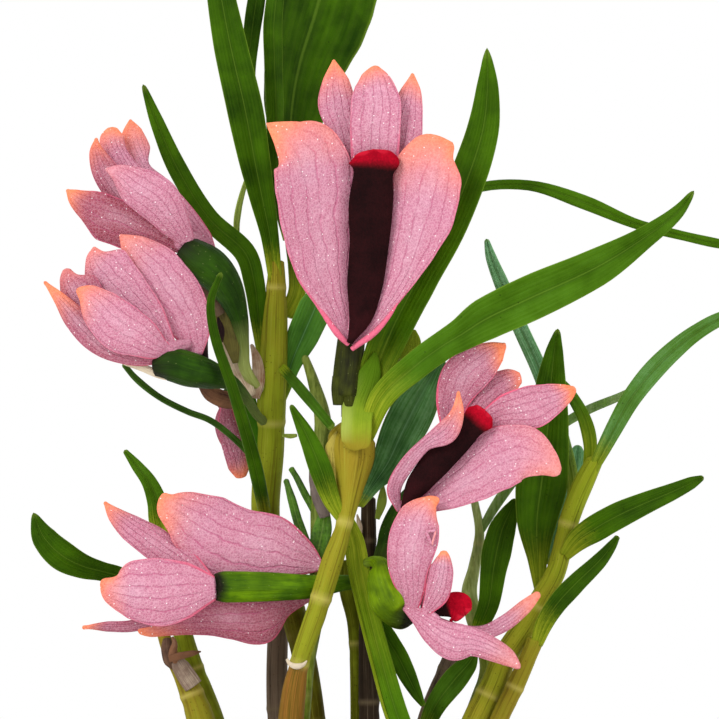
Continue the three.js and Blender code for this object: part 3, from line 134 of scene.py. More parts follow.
def finish(name):
    """A new material, a wire to start from, and the place on the piece in millimetres."""
    material = bpy.data.materials.new(name)
    material.use_nodes = True
    material.node_tree.nodes.clear()
    start = Wire(material.node_tree)
    place = start.node("TexCoord", output="Object")
    return material, start, start.node("VectorMath", {"operation": "SCALE"}, {0: place, "Scale": 1000})


def cloud(place, scale, detail=2, roughness=.5):
    """Soft patches between 0 and 1, `scale` of them to the millimetre."""
    return place.node("TexNoise", sockets={"Vector": place, "Scale": scale, "Detail": detail,
                                           "Roughness": roughness})


def specks(place, scale, near, far, some=None):
    """Specks, `scale` to the millimetre: 1 within `near` of their middles, 0 past `far`, `some` or all of them."""
    cells = place.node("TexVoronoi", {"feature": "F1"}, {"Vector": place, "Scale": scale})
    shown = 1 - cells.ramp(near, far)
    return shown * place.node("SeparateColor", sockets={0: cells.beside("Color")}).ramp(*some) if some else shown


def close(material, height, depth, **sockets):
    """Ends a material in its shader, with `height` as its relief, `depth` metres deep."""
    start = Wire(material.node_tree)
    normal = start.node("Bump", sockets={"Height": height, "Distance": depth})
    named = {key.replace("_", " "): value for key, value in sockets.items()}
    shader = start.node("BsdfPrincipled", sockets={"Normal": normal, **named})
    start.node("OutputMaterial", sockets={"Surface": shader})
    return material


def turned(name, profile, segments):
    """A solid of revolution about Z, from a (radius, height) profile that starts and ends on the axis."""
    points = [(0, 0, profile[0][1])]
    for radius, height in profile[1:-1]:
        for k in range(segments):
            angle = 2 * math.pi * k / segments
            points.append((radius * math.cos(angle), radius * math.sin(angle), height))
    points.append((0, 0, profile[-1][1]))
    last, rows = len(points) - 1, len(profile) - 2
    faces = []
    for k in range(segments):
        after = (k + 1) % segments
        faces.append((0, 1 + after, 1 + k))
        for row in range(rows - 1):
            a, b = 1 + row * segments, 1 + (row + 1) * segments
            faces.append((a + k, a + after, b + after, b + k))
        faces.append((last, 1 + (rows - 1) * segments + k, 1 + (rows - 1) * segments + after))
    mesh = bpy.data.meshes.new(name)
    mesh.from_pydata(points, [], faces)
    made = bpy.data.objects.new(name, mesh)
    bpy.context.scene.collection.objects.link(made)
    return made


def pot_radius(height):
    low, high = POT_BASE_RADIUS, POT_TOP_RADIUS - POT_RIM_LIP
    return low + (high - low) * height / POT_HEIGHT


def pot_outline():
    """The pot's wall from its underside, round the rim, down the inside to its floor, edges rounded."""
    outline = [(0, 0), (POT_BASE_RADIUS - .0012, 0), (POT_BASE_RADIUS - .0005, .0002), (POT_BASE_RADIUS, .001)]
    for height in (.002 + .0015 * k for k in range(28)):
        outline.append((pot_radius(height) + THROWING_RING * math.sin(height * 2600), height))
    outline += [(pot_radius(RIM_FOOT) - .0001, RIM_FOOT - .0004), (pot_radius(RIM_FOOT) + .0003, RIM_FOOT)]
    top, lip = POT_HEIGHT, POT_TOP_RADIUS
    outline += [(lip - .0011, RIM_FOOT), (lip - .0005, RIM_FOOT + .0003), (lip - .0002, RIM_FOOT + .001),
                (lip - .0001, RIM_FOOT + .004), (lip, top - .0016), (lip - .0002, top - .0008),
                (lip - .0007, top - .0002), (lip - .0014, top), (lip - POT_WALL + .0009, top),
                (lip - POT_WALL + .0003, top - .0003), (lip - POT_WALL, top - .001)]
    outline += [(pot_radius(RIM_FOOT) - POT_WALL, RIM_FOOT - .004),
                (pot_radius(POT_WALL) - POT_WALL, POT_WALL + .0006),
                (pot_radius(POT_WALL) - POT_WALL - .0006, POT_WALL), (0, POT_WALL)]
    return outline


pot = turned("clay_pot", pot_outline(), 96)
for k in range(DRAINS):
    turn = 2 * math.pi * k / DRAINS + math.pi / 2
    drill = turned("drill", [(0, -.002), (DRAIN_RADIUS, -.002), (DRAIN_RADIUS, .008), (0, .008)], 40)
    drill.location = (DRAIN_RING * math.cos(turn), DRAIN_RING * math.sin(turn), 0)
    cut = pot.modifiers.new("drain", "BOOLEAN")
    cut.operation, cut.solver, cut.object = "DIFFERENCE", "EXACT", drill
bpy.context.view_layer.update()
drained = bpy.data.meshes.new_from_object(pot.evaluated_get(bpy.context.evaluated_depsgraph_get()))
for cut in list(pot.modifiers):
    drill = cut.object
    pot.modifiers.remove(cut)
    bpy.data.objects.remove(drill)
pot.data = drained
pot.data.shade_smooth()
pot.data.set_sharp_from_angle(angle=math.radians(40))

clay, wire, place = finish("terracotta")
height = place.split().beside("Z")
patches = cloud(place, .09, 4, .6)
grains = cloud(place, 2.2, 3, .7)
rings = cloud(place.stretched(.02, .02, 1.4), 1.2, 3)
bloom = (patches + .25 * grains).ramp(.58, .82) * (1 - height.ramp(4, 26) + height.ramp(40, 53)).ramp(0, 1)
fired = (patches * .6 + rings * .4).ramp(.3, .7).blend("9c5230", "bd6f48")
fired = (grains.ramp(.58, .75) * .5).blend(fired, "7c3f25")
fired = (bloom * .55).blend(fired, "d9b79c")
clay = close(clay, grains * .5 + rings * .8, .0004, Base_Color=fired, Roughness=.78 + grains * .15,
             Specular_IOR_Level=.25)
pot.data.materials.append(clay)
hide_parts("pot")
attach(pot, "root")


# The potting medium fills the pot nearly to its rim: chopped fir bark, packed by hand round the canes, with
# loose chips lying every way on top.
SOIL_LEVEL = .049
SOIL_BUMP = .0009
GAP = .0003
SOIL_RADIUS = (pot_radius(RIM_FOOT) - POT_WALL
               + (POT_TOP_RADIUS - pot_radius(RIM_FOOT)) * (SOIL_LEVEL - RIM_FOOT + .004) / .013 - GAP)
CANE_FEET = [(-.0096, -.0062), (-.0047, .0023), (.0082, .0006), (.0125, -.002), (-.0161, .001),
             (-.0138, .005), (.0017, -.0017), (-.0008, .0007), (-.0087, .0064), (.006, .003), (.0101, .007),
             (-.0075, -.0026)]


def soil_height(x, y):
    """The lumpy top of the medium, its lumps dying away to a level edge where the rim's inner wall meets it."""
    lump = SOIL_BUMP * math.sin(610 * x + 1.3) * math.cos(530 * y + 400 * x)
    return SOIL_LEVEL + lump * (1 - (math.hypot(x, y) / SOIL_RADIUS) ** 6)


soil_shape = [(0, POT_WALL + GAP), (pot_radius(POT_WALL) - POT_WALL - GAP, POT_WALL + GAP),
              (pot_radius(RIM_FOOT) - POT_WALL - GAP, RIM_FOOT - .004)]
soil_shape += [(SOIL_RADIUS * (12 - k) / 12, SOIL_LEVEL) for k in range(13)]
soil = turned("bark_medium", soil_shape, 72)
for point in soil.data.vertices:
    if point.co.z > SOIL_LEVEL - .0001:
        point.co.z = soil_height(point.co.x, point.co.y)

CHIPS = 420
CHIP_FROM_CANE = .0026
chips = bmesh.new()
chips.from_mesh(soil.data)
chance = random.Random(4)
for k in range(CHIPS):
    reach, turn = (SOIL_RADIUS - .0022) * chance.random() ** .5, chance.uniform(0, 2 * math.pi)
    x, y = reach * math.cos(turn), reach * math.sin(turn)
    if min(math.hypot(x - a, y - b) for a, b in CANE_FEET) < CHIP_FROM_CANE:
        continue
    size = Vector((chance.uniform(.0012, .0027), chance.uniform(.0008, .0016), chance.uniform(.0004, .0009)))
    lean = Matrix.Rotation(chance.uniform(0, 6.3), 4, "Z") @ Matrix.Rotation(chance.uniform(-.5, .5), 4, "X")
    chip = bmesh.ops.create_cube(chips, size=2)["verts"]
    for point in chip:
        jitter = Vector([chance.uniform(.65, 1.1) for _ in range(3)])
        corner = Vector((point.co.x * size.x, point.co.y * size.y, point.co.z * size.z))
        point.co = lean @ Vector([c * j for c, j in zip(corner, jitter)])
        point.co += Vector((x, y, soil_height(x, y) + .0001 + size.z * .5))
    edges = list({edge for point in chip for edge in point.link_edges})
    bmesh.ops.bevel(chips, geom=edges, offset=.00018, segments=1, affect="EDGES", profile=.6)
chips.to_mesh(soil.data)
chips.free()

bark, wire, place = finish("fir_bark")
patches = cloud(place, .3, 3, .6)
grain = cloud(place.stretched(3, .7, 2), .9, 4, .7)
chopped = (patches * .7 + grain * .3).ramp(.32, .66).blend("32241b", "7a5638")
chopped = (grain.ramp(.6, .78) * .6).blend(chopped, "a07a52")
bark = close(bark, grain + patches, .0006, Base_Color=chopped, Roughness=.82 + grain * .16,
             Specular_IOR_Level=.2)
soil.data.materials.append(bark)
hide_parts("potting_medium")
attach(soil, "root")


# The canes are the orchid's jointed stems, firm and slightly swollen between pale rings. Young ones are
# olive to straw yellow and streaked along their length; their feet stand in the bark.
CANES = {
    "front": [
        (-.0093, -.0055, .04, .0017), (-.0089, -.0076, .062, .00175), (-.0082, -.0087, .0715, .0015),
        (-.0073, -.0091, .076, .0012), (-.0053, -.0096, .0819, .0013), (-.0036, -.0096, .0874, .00135),
        (-.0019, -.0096, .0927, .00105), (-.0013, -.0093, .097, .00175), (-.001, -.009, .101, .00285),
        (-.001, -.009, .103, .00295), (-.0004, -.009, .1052, .0015),
    ],
    "left": [
        (-.0045, .002, .04, .0012), (-.0048, .0024, .054, .0012), (-.0056, .0028, .068, .0013),
        (-.0082, .003, .0808, .0016), (-.01165, .0022, .092, .00175), (-.0113, .0006, .102, .00185),
        (-.0109, -.0006, .1105, .0018), (-.0106, -.001, .118, .0016), (-.0104, -.001, .123, .00115),
        (-.0104, -.001, .1255, .00095),
    ],
    "right": [
        (.007, .001, .04, .0016), (.0082, .0006, .049, .0017), (.0108, .0003, .059, .00175), (.0147, 0, .0681, .0018),
        (.0168, 0, .0726, .00165), (.018, 0, .0756, .00155), (.0208, 0, .0799, .0015), (.0228, 0, .0834, .00135),
        (.0245, 0, .0865, .00125), (.0262, 0, .093, .00125), (.0277, 0, .097, .0013), (.0296, 0, .1008, .001),
    ],
    "right_low": [
        (.012, -.002, .04, .0012), (.0126, -.002, .05, .00125), (.0147, -.002, .06, .00125),
        (.0174, -.002, .0681, .00115), (.0193, -.002, .0721, .00115), (.02085, -.002, .0755, .00105),
        (.022, -.002, .0782, .00105),
    ],
    "left_short": [
        (-.015, .001, .04, .0015), (-.0163, .001, .052, .0016), (-.0182, .001, .061, .0017),
        (-.0202, .001, .069, .0017), (-.022, .0012, .0734, .00125), (-.0239, .0016, .0768, .0009),
        (-.0247, .002, .079, .00075),
    ],
    "left_leafy": [
        (-.0125, .005, .04, .0015), (-.0142, .005, .052, .0016), (-.0167, .005, .061, .0017),
        (-.0188, .005, .0682, .0016), (-.0212, .005, .075, .00135), (-.0223, .005, .079, .0012),
        (-.0233, .005, .085, .00095), (-.0242, .0046, .091, .0008),
    ],
    "middle_brown": [
        (.002, -.0016, .04, .00125), (.0016, -.0018, .054, .0013), (.0012, -.002, .068, .0013),
        (.0011, -.002, .08, .0012), (.0011, -.0022, .09, .001), (.0011, -.0022, .096, .0009),
    ],
    "middle_olive": [
        (-.0009, .0007, .04, .0008), (-.0007, .0007, .054, .0008), (-.0003, .0006, .068, .00085),
        (-.0006, .0005, .08, .00095), (-.0014, .0004, .0843, .00115), (-.0017, .0004, .088, .001),
    ],
    "old_brown": [
        (-.008, .0065, .04, .0012), (-.009, .0064, .054, .0013), (-.0103, .0064, .068, .00135),
        (-.0103, .0064, .078, .0013), (-.0096, .0064, .086, .001),
    ],
    "old_grey": [
        (.0055, .0032, .04, .00105), (.0063, .003, .054, .0011), (.0079, .0026, .066, .00115),
        (.0102, .0024, .0725, .00115), (.0127, .0022, .0785, .001),
    ],
}
# The heights of each cane's rings, and how straw-coloured it is at its foot and at its tip
RINGS = {
    "front": ((.0552, .0668, .0754, .0835, .0929), .3, 1),
    "left": ((.0556, .067, .0782, .0922, .1054, .1221), -.05, .8),
    "right": ((.0532, .0618, .0712, .0822, .0925), .8, .52),
    "right_low": ((.0545, .0632, .0722), .85, .75),
    "left_short": ((.0565, .064, .0712), .6, .75),
    "left_leafy": ((.0575, .066, .0742, .0825), .2, .35),
    "middle_brown": ((.0561, .0703, .0812, .0905), 0, .3),
    "middle_olive": ((.0535, .0662, .0775), .1, .2),
    "old_brown": ((.0575, .0692, .0795), .85, .95),
    "old_grey": ((.0555, .0655, .0742), .6, 1),
}


def smooth(points):
    """A centripetal curve through points: a function of t, 0 at the first of them and 1 at the last."""
    points = [Vector(point) for point in points]
    spine = [2 * points[0] - points[1], *points, 2 * points[-1] - points[-2]]

    def at(t):
        spot = min(max(t, 0), 1) * (len(points) - 1)
        k = min(int(spot), len(points) - 2)
        a, b, c, d = spine[k:k + 4]
        before, here, after = ((q - p).length ** .5 for p, q in ((a, b), (b, c), (c, d)))
        here = here if here > 1e-4 else 1
        before, after = (gap if gap > 1e-4 else here for gap in (before, after))
        leave = ((b - a) / before - (c - a) / (before + here) + (c - b) / here) * here
        arrive = ((c - b) / here - (d - b) / (here + after) + (d - c) / after) * here
        u = spot - k
        return b + leave * u + (3 * (c - b) - 2 * leave - arrive) * u ** 2 + (2 * (b - c) + leave + arrive) * u ** 3

    return at


def along(path, t):
    return (path(t + 1e-4) - path(t - 1e-4)).normalized()


class Skins:
    """Closed skins gathered for one mesh, in millimetres, with two marks on every point for the finish."""

    def __init__(self):
        self.points, self.faces, self.place, self.tint = [], [], [], []

    def add(self, rings, place, tint):
        """Joins rings of equally many points, and closes the first and the last across."""
        start, n = len(self.points), len(rings[0])
        self.points += [point for ring in rings for point in ring]
        self.place += place
        self.tint += tint
        faces = [(a + i, a + (i + 1) % n, a + n + (i + 1) % n, a + n + i)
                 for a in range(start, start + n * (len(rings) - 1), n) for i in range(n)]
        last = start + n * (len(rings) - 1)
        for i in range(n // 2 - 1):
            faces.append((start + n - 1 - i, start + n - 2 - i, start + i + 1, start + i))
            faces.append((last + i, last + i + 1, last + n - 2 - i, last + n - 1 - i))
        volume = sum(self.points[f[0]].dot(self.points[f[1]].cross(self.points[f[2]])
                                           + self.points[f[2]].cross(self.points[f[3]])) for f in faces)
        self.faces += faces if volume > 0 else [face[::-1] for face in faces]

    def make(self, name, material, slot, *nodes):
        """The piece itself, in metres, standing for the named nodes."""
        mesh = bpy.data.meshes.new(name)
        mesh.from_pydata([point / 1000 for point in self.points], [], self.faces)
        for mark, values in (("place", self.place), ("tint", self.tint)):
            layer = mesh.attributes.new(mark, "FLOAT_VECTOR", "POINT")
            layer.data.foreach_set("vector", [number for value in values for number in value])
        mesh.shade_smooth()
        made = bpy.data.objects.new(name, mesh)
        bpy.context.scene.collection.objects.link(made)
        mesh.materials.append(material)
        if nodes:
            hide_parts(*nodes)
        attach(made, "root")
        return made


def stem(skins, rows, sides=24, steps=70, ridges=(9, .02), shape=lambda z, t: 1, tint=lambda z, t: (0, 0, 0)):
    """A round stem through (x, y, z, radius) rows, ridged along its length and rounded at both ends."""
    path = smooth([[number * 1000 for number in row[:3]] for row in rows])
    girth = smooth([(row[3] * 1000, 0, 0) for row in rows])
    side, run, before = Vector((1, 0, 0)), 0, path(0)
    rings, place, tints = [], [], []
    ends = [0, .004, .012]
    between = [ends[-1] + (1 - 2 * ends[-1]) * k / steps for k in range(1, steps)]
    for t in ends + between + [1 - end for end in ends[::-1]]:
        way, middle = along(path, t), path(t)
        side = (side - way * side.dot(way)).normalized()
        front = way.cross(side)
        run += (middle - before).length / 10
        before = middle
        close_in = min(t, 1 - t)
        dome = .25 if close_in == 0 else (.75 if close_in < .01 else 1)
        radius = girth(t).x * shape(middle.z / 1000, t) * dome
        ring = []
        for i in range(sides):
            angle = 2 * math.pi * i / sides
            reach = radius * (1 + ridges[1] * math.cos(ridges[0] * angle))
            ring.append(middle + side * reach * math.cos(angle) + front * reach * math.sin(angle))
            place.append((math.cos(angle), math.sin(angle), run))
            tints.append(tint(middle.z / 1000, t))
        rings.append(ring)
    skins.add(rings, place, tints)


def ring_at(z, rings, width):
    """1 on a ring of the cane, and 0 away from it."""
    return max(math.exp(-((z - ring) / width) ** 2) for ring in rings)


def cane_finish(name, dark, green, straw, pale, streak, node):
    """Streaks and specks along a cane; its marks are the ring, how dry and brown it is, and how bright."""
    material, wire, place = finish(name)
    ring = wire.mark("tint").split()
    dry, tone = ring.beside("Y"), ring.beside("Z")
    fibres = wire.mark("place").stretched(1, 1, .16)
    broad, thin = cloud(fibres, 2.6, 3, .6), cloud(fibres, 8, 4, .7)
    patches = cloud(place, .3, 3, .6)
    tone = tone + (patches - .5) * .4
    body = tone.ramp(.45, 1).blend(tone.ramp(0, .5).blend(dark, green), straw)
    body = (tone.ramp(.95, 1.3) * .8).blend(body, "b3a44c")
    body = ((broad * .5 + thin * .5).ramp(.5, .64) * .62).blend(body, streak)
    body = ((broad * .4 + thin * .6).ramp(.47, .34) * .45).blend(body, pale)
    body = (specks(place, 1.9, .08, .2) * cloud(place, .25, 2).ramp(.45, .6) * .75).blend(body, "352208")
    papery = thin.ramp(.3, .7).blend("4f2c12", "94602a")
    body = (dry * (.75 + .25 * thin)).blend(body, papery)
    body = (ring * (.25 + .45 * broad)).blend(body, node)
    return close(material, thin * .6 + broad * .4, .00018, Base_Color=body, Roughness=.5 + thin * .25,
                 Specular_IOR_Level=.045)


cane_green = cane_finish("green_cane", "444402", "88961e", "8f7d22", "a3a23c", "3b3306", "c4b662")
cane_brown = cane_finish("old_cane", "2a2118", "453626", "6a5a4a", "7a6c58", "18110b", "6e6048")
# How dry and brown a cane is at a height, where it isn't fresh all along
DRY = {"front": lambda z: 1 if z < .0752 else .22 if z < .092 else .06,
       "left": lambda z: .12 if z < .1221 else .03,
       "left_short": lambda z: .35, "right_low": lambda z: .25}
OLD_CANES = ("middle_brown", "old_brown", "old_grey")
for name, rows in CANES.items():
    rings, foot, tip = RINGS[name]
    low, high = rows[0][2], rows[-1][2]
    ring_width = .0005 if name == "front" else .00028
    dry = DRY.get(name, lambda z: 0)
    skins = Skins()
    stem(skins, rows, steps=110,
         shape=lambda z, t: 1 + .05 * ring_at(z, rings, .0003) - .05 * ring_at(z + .001, rings, .0006),
         tint=lambda z, t: (ring_at(z, rings, ring_width), dry(z),
                            foot + (tip - foot) * ((z - low) / (high - low)) ** 2))
    old = name in OLD_CANES
    skins.make(name + "_cane", cane_brown if old else cane_green, "cane_brown" if old else "cane_green",
               "cane_" + name)


# The leaves are leathery straps, folded along a sunken midrib, each clasping a cane or the top of a shoot at
# its foot. They are deep glossy green, a few of them bluish under a painted pale sky reflection, with thin pale edges.
LEAF_THICK = .00075
ROLLED_THICK = .0006
EDGE_THICK = .0004
EDGE_OUT = .95
LEAVES = {
    "top_left": (20, [
        (-.0105, -.0014, .123, .0009), (-.0112, -.0017, .1285, .0012), (-.0121, -.002, .133, .00165),
        (-.0131, -.0024, .138, .0021), (-.0143, -.0027, .1444, .0024), (-.016, -.0027, .1518, .00225),
        (-.0172, -.0023, .158, .0019), (-.0184, -.0016, .165, .0013), (-.0192, -.0006, .171, .0003),
    ]),
    "top_left_back": (15, [
        (-.0106, -.0002, .124, .0007), (-.0114, .0008, .13, .0009), (-.013, .002, .1393, .001),
        (-.014, .0024, .148, .001), (-.0135, .0026, .154, .0011), (-.0128, .0028, .159, .0011),
        (-.0119, .0032, .1675, .0003),
    ]),
    "top_wide": (16, [
        (-.0093, -.0004, .1186, .001, .001, 20), (-.008, .001, .1214, .0012, .0012, 20),
        (-.0077, .0026, .125, .0016, .0016, 20), (-.0081, .0044, .132, .0023, .0023, 24),
        (-.0088, .0056, .1395, .0032, .0032, 28), (-.0086, .0063, .145, .00475, .00475, 28),
        (-.0076, .0069, .1505, .00595, .00595, 28), (-.0059, .0075, .156, .0071, .0071, 28),
        (-.0041, .0082, .162, .0071, .0071, 26), (-.0008, .0096, .17, .0043, .0043, 24),
        (.001, .0106, .1755, .0004, .0004, 20),
    ]),
    "left_arching": (12, [
        (-.0122, -.001, .1135, .0006), (-.0126, -.0012, .118, .00105), (-.01315, -.0012, .1227, .00135),
        (-.01425, -.0008, .1263, .0014), (-.01885, .0004, .1307, .0013), (-.0228, .001, .137, .00125),
        (-.02535, .0012, .1428, .0009), (-.0271, .0014, .1475, .0003),
    ]),
    "left_front": (0, [
        (-.0118, .001, .0935, .0008), (-.0123, -.0026, .0965, .00085), (-.0134, -.007, .1016, .00085),
        (-.0157, -.0126, .1096, .0007), (-.0179, -.0148, .1163, .0006), (-.0183, -.015, .1203, .0005),
        (-.017, -.0148, .1238, .0003),
    ]),
    "left_thread": (0, [
        (-.0118, .0006, .0988, .0004), (-.0148, -.0018, .1024, .0004), (-.0185, -.0024, .1054, .0004),
        (-.0215, -.0028, .1066, .0004), (-.025, -.0022, .1084, .0004), (-.028, -.0018, .1108, .0004),
        (-.0295, -.0016, .1126, .0003),
    ]),
    "centre_blue": (16, [
        (-.01, -.0002, .1075, .0006), (-.0092, .0002, .11, .0009), (-.0085, .0002, .1126, .00135),
        (-.007, -.0002, .1162, .0021), (-.0056, -.0008, .1194, .0022), (-.0046, -.0014, .1223, .001),
    ]),
    "centre_stick": (0, [
        (-.0096, -.0026, .112, .0006), (-.0082, -.0064, .1104, .00065), (-.0058, -.0106, .1076, .00065),
        (-.0033, -.0126, .1046, .00055),
    ]),
    "centre_down": (14, [
        (-.0022, -.0096, .0932, .0006), (-.0035, -.0106, .0958, .00115), (-.0048, -.011, .0995, .00145),
        (-.0064, -.0104, .1034, .0011), (-.0085, -.0084, .1074, .0003),
    ]),
    "tall_right": (20, [
        (0, -.0092, .1036, .0015), (.0002, -.0092, .1058, .00175), (.001, -.009, .1088, .0018),
        (.0024, -.0086, .1128, .00225), (.00415, -.008, .117, .00255), (.0059, -.0074, .1205, .0026),
        (.00755, -.007, .1236, .0026), (.01095, -.0066, .1296, .0025), (.01395, -.0064, .137, .0024),
        (.0154, -.0062, .142, .0021), (.0159, -.006, .147, .00145), (.01585, -.0056, .1518, .0003),
    ]),
    "long_right": (18, [
        (.0008, -.0096, .1034, .001), (.0028, -.0104, .1084, .0016), (.0072, -.0106, .1125, .00185),
        (.0105, -.0106, .1149, .0019), (.0126, -.0105, .11615, .00215), (.0155, -.0104, .118, .00275),
        (.021, -.01, .1206, .00295), (.0295, -.009, .12455, .00245), (.035, -.0082, .12795, .0015),
        (.0394, -.0074, .1313, .0009), (.0415, -.007, .134, .0003),
    ]),
    "grass_right": (0, [
        (-.0004, -.007, .1036, .0005), (.0026, -.0044, .111, .0006), (.006, -.0032, .122, .0006),
        (.01, -.0024, .131, .0006), (.014, -.002, .1342, .0006), (.021, -.0018, .1348, .00065),
        (.028, -.0014, .1327, .0009), (.0345, -.0012, .13, .00065), (.04, -.001, .1286, .0006),
        (.045, -.001, .1275, .0006), (.05, -.001, .1267, .00035),
    ]),
    "right_blue": (18, [
        (0, -.0084, .095, .0006), (.0016, -.0066, .0974, .0011), (.0035, -.0056, .1002, .0022),
        (.0053, -.0052, .104, .0028), (.007, -.0052, .1073, .0028), (.0086, -.0054, .1103, .0021),
        (.0104, -.0056, .1134, .0005),
    ]),
    "strap_down": (14, [
        (-.0017, -.0084, .0934, .0009), (-.0006, -.0069, .0906, .0012), (0, -.0064, .087, .00135),
        (.001, -.0066, .0824, .0013), (.0028, -.0074, .0754, .00135), (.005, -.0094, .0681, .00145),
        (.0076, -.0116, .0625, .001), (.0098, -.0134, .0585, .0003),
    ]),
    "low_centre": (14, [
        (.0016, -.0028, .0845, .0008), (.0022, -.0036, .0806, .0011), (.0036, -.004, .078, .00135),
        (.00485, -.0042, .076, .0013), (.00595, -.0044, .0738, .00115), (.0071, -.0045, .0715, .00075),
        (.008, -.0046, .0699, .0003),
    ]),
    "low_grey": (16, [
        (.0074, .0016, .064, .0008), (.0083, .0004, .067, .001), (.0096, -.0006, .07, .00135),
        (.0118, -.0012, .073, .0016), (.0136, -.0014, .0751, .0012), (.0146, -.0014, .0766, .0003),
    ]),
    "upper_back": (10, [
        (.0264, .0006, .0946, .0006), (.0267, .0024, .0976, .0008), (.0255, .004, .103, .0009),
        (.0228, .0044, .1112, .00105), (.0202, .0044, .117, .001), (.0179, .004, .1224, .00095),
        (.0165, .0036, .1259, .0007), (.0159, .0034, .1282, .0003),
    ]),
    "broad_right": (12, [
        (.0225, .0012, .0836, .0005), (.0223, .0018, .088, .0013), (.0222, .002, .0928, .0026),
        (.0228, .002, .0976, .0033), (.0233, .0016, .102, .003), (.0237, .0012, .106, .0025),
        (.024, .0008, .1106, .00185), (.0244, .0004, .1143, .0011), (.0248, 0, .1169, .0003),
    ]),
    "edge_right": (0, [
        (.0239, .0016, .0874, .0005), (.0247, .003, .0908, .0005), (.0255, .0044, .0943, .0005),
        (.0262, .005, .0965, .0006), (.0269, .0054, .0989, .001), (.0273, .0058, .1009, .0011),
        (.0275, .006, .1023, .0004),
    ]),
    "far_right": (14, [
        (.0292, -.0004, .0994, .0007), (.0305, -.001, .102, .00095), (.03175, -.0012, .1044, .0011),
        (.03385, -.0014, .1081, .00125), (.0364, -.0014, .1114, .00135), (.0391, -.0012, .1141, .00125),
        (.042, -.0008, .1164, .00105), (.0454, -.0004, .11825, .0009), (.051, .0006, .1195, .00035),
    ]),
    "fork_right": (0, [
        (.0285, .0004, .0986, .0007), (.0289, .0014, .1022, .00085), (.0282, .0016, .1055, .00085),
        (.0264, .0022, .1088, .0007), (.0248, .0022, .111, .0003),
    ]),
    "side_right": (14, [
        (.0256, -.0008, .0886, .0008), (.0273, -.0018, .0906, .00145), (.0298, -.0024, .09225, .00175),
        (.0324, -.0028, .0937, .0017), (.0359, -.003, .0953, .0014), (.039, -.003, .0966, .0011),
        (.0414, -.0028, .0977, .0008), (.0429, -.0026, .0984, .0003),
    ]),
    "low_right": (14, [
        (.0221, -.0024, .0776, .0008), (.0231, -.003, .0803, .00115), (.02475, -.0034, .0828, .00125),
        (.02695, -.0038, .0852, .00125), (.0299, -.004, .08805, .001), (.0314, -.004, .0899, .00065),
        (.0322, -.004, .0911, .0003),
    ]),
    "back_hanging": (12, [
        (.0146, .0064, .0776, .0007), (.0152, .0046, .0798, .0011), (.0162, .0036, .0824, .00135),
        (.0168, .0036, .0867, .0017), (.0172, .0038, .0889, .0019), (.0179, .004, .0917, .00175),
        (.0189, .0042, .094, .0011), (.0196, .0044, .0956, .0003),
    ]),
    "far_left": (14, [
        (-.0244, .0026, .0784, .0005), (-.0264, .003, .0823, .0008), (-.0295, .003, .0856, .0012),
        (-.0322, .0024, .0865, .00125), (-.0347, .0018, .0872, .0016), (-.0373, .001, .0886, .00195),
        (-.0395, .0006, .0909, .0016), (-.0408, .0004, .0939, .0003),
    ]),
    "left_small": (14, [
        (-.0242, .0044, .0904, .0009), (-.025, .0042, .0927, .00145), (-.0254, .004, .0952, .0013),
        (-.0264, .0038, .0977, .001), (-.0279, .0036, .0997, .00075), (-.0295, .0036, .1017, .0003),
    ]),
}
BLUE_LEAVES = ("centre_blue", "right_blue", "edge_right")
# How bright each leaf is, how far its yellow foot reaches in centimetres, and how much painted sky reflection it has
LEAF_LOOKS = {
    "top_left": (.42, .5, 0), "top_left_back": (.34, .4, .05), "top_wide": (.42, 1, 0), "left_arching": (.5, .5, 0),
    "tall_right": (.6, 1.5, .04), "long_right": (.7, 1.2, .1), "broad_right": (.5, .9, 0), "strap_down": (.8, 2.6, 0),
    "low_centre": (.5, .5, .03), "far_right": (.85, .5, .25), "side_right": (.46, .6, 0), "low_right": (.34, .6, 0),
    "centre_down": (.46, .7, 0), "far_left": (.38, .6, .03), "left_small": (.74, .5, .1), "upper_back": (.8, 1.6, .6),
    "grass_right": (.75, .4, .08), "back_hanging": (.52, .4, 0), "fork_right": (.8, 1, .12),
    "right_blue": (.46, .2, .3), "centre_blue": (.72, .4, .15), "edge_right": (.6, .2, .7), "left_front": (.42, .5, 0),
    "left_thread": (.4, .4, .15), "centre_stick": (.45, .3, .1), "low_grey": (.5, .6, .1),
}


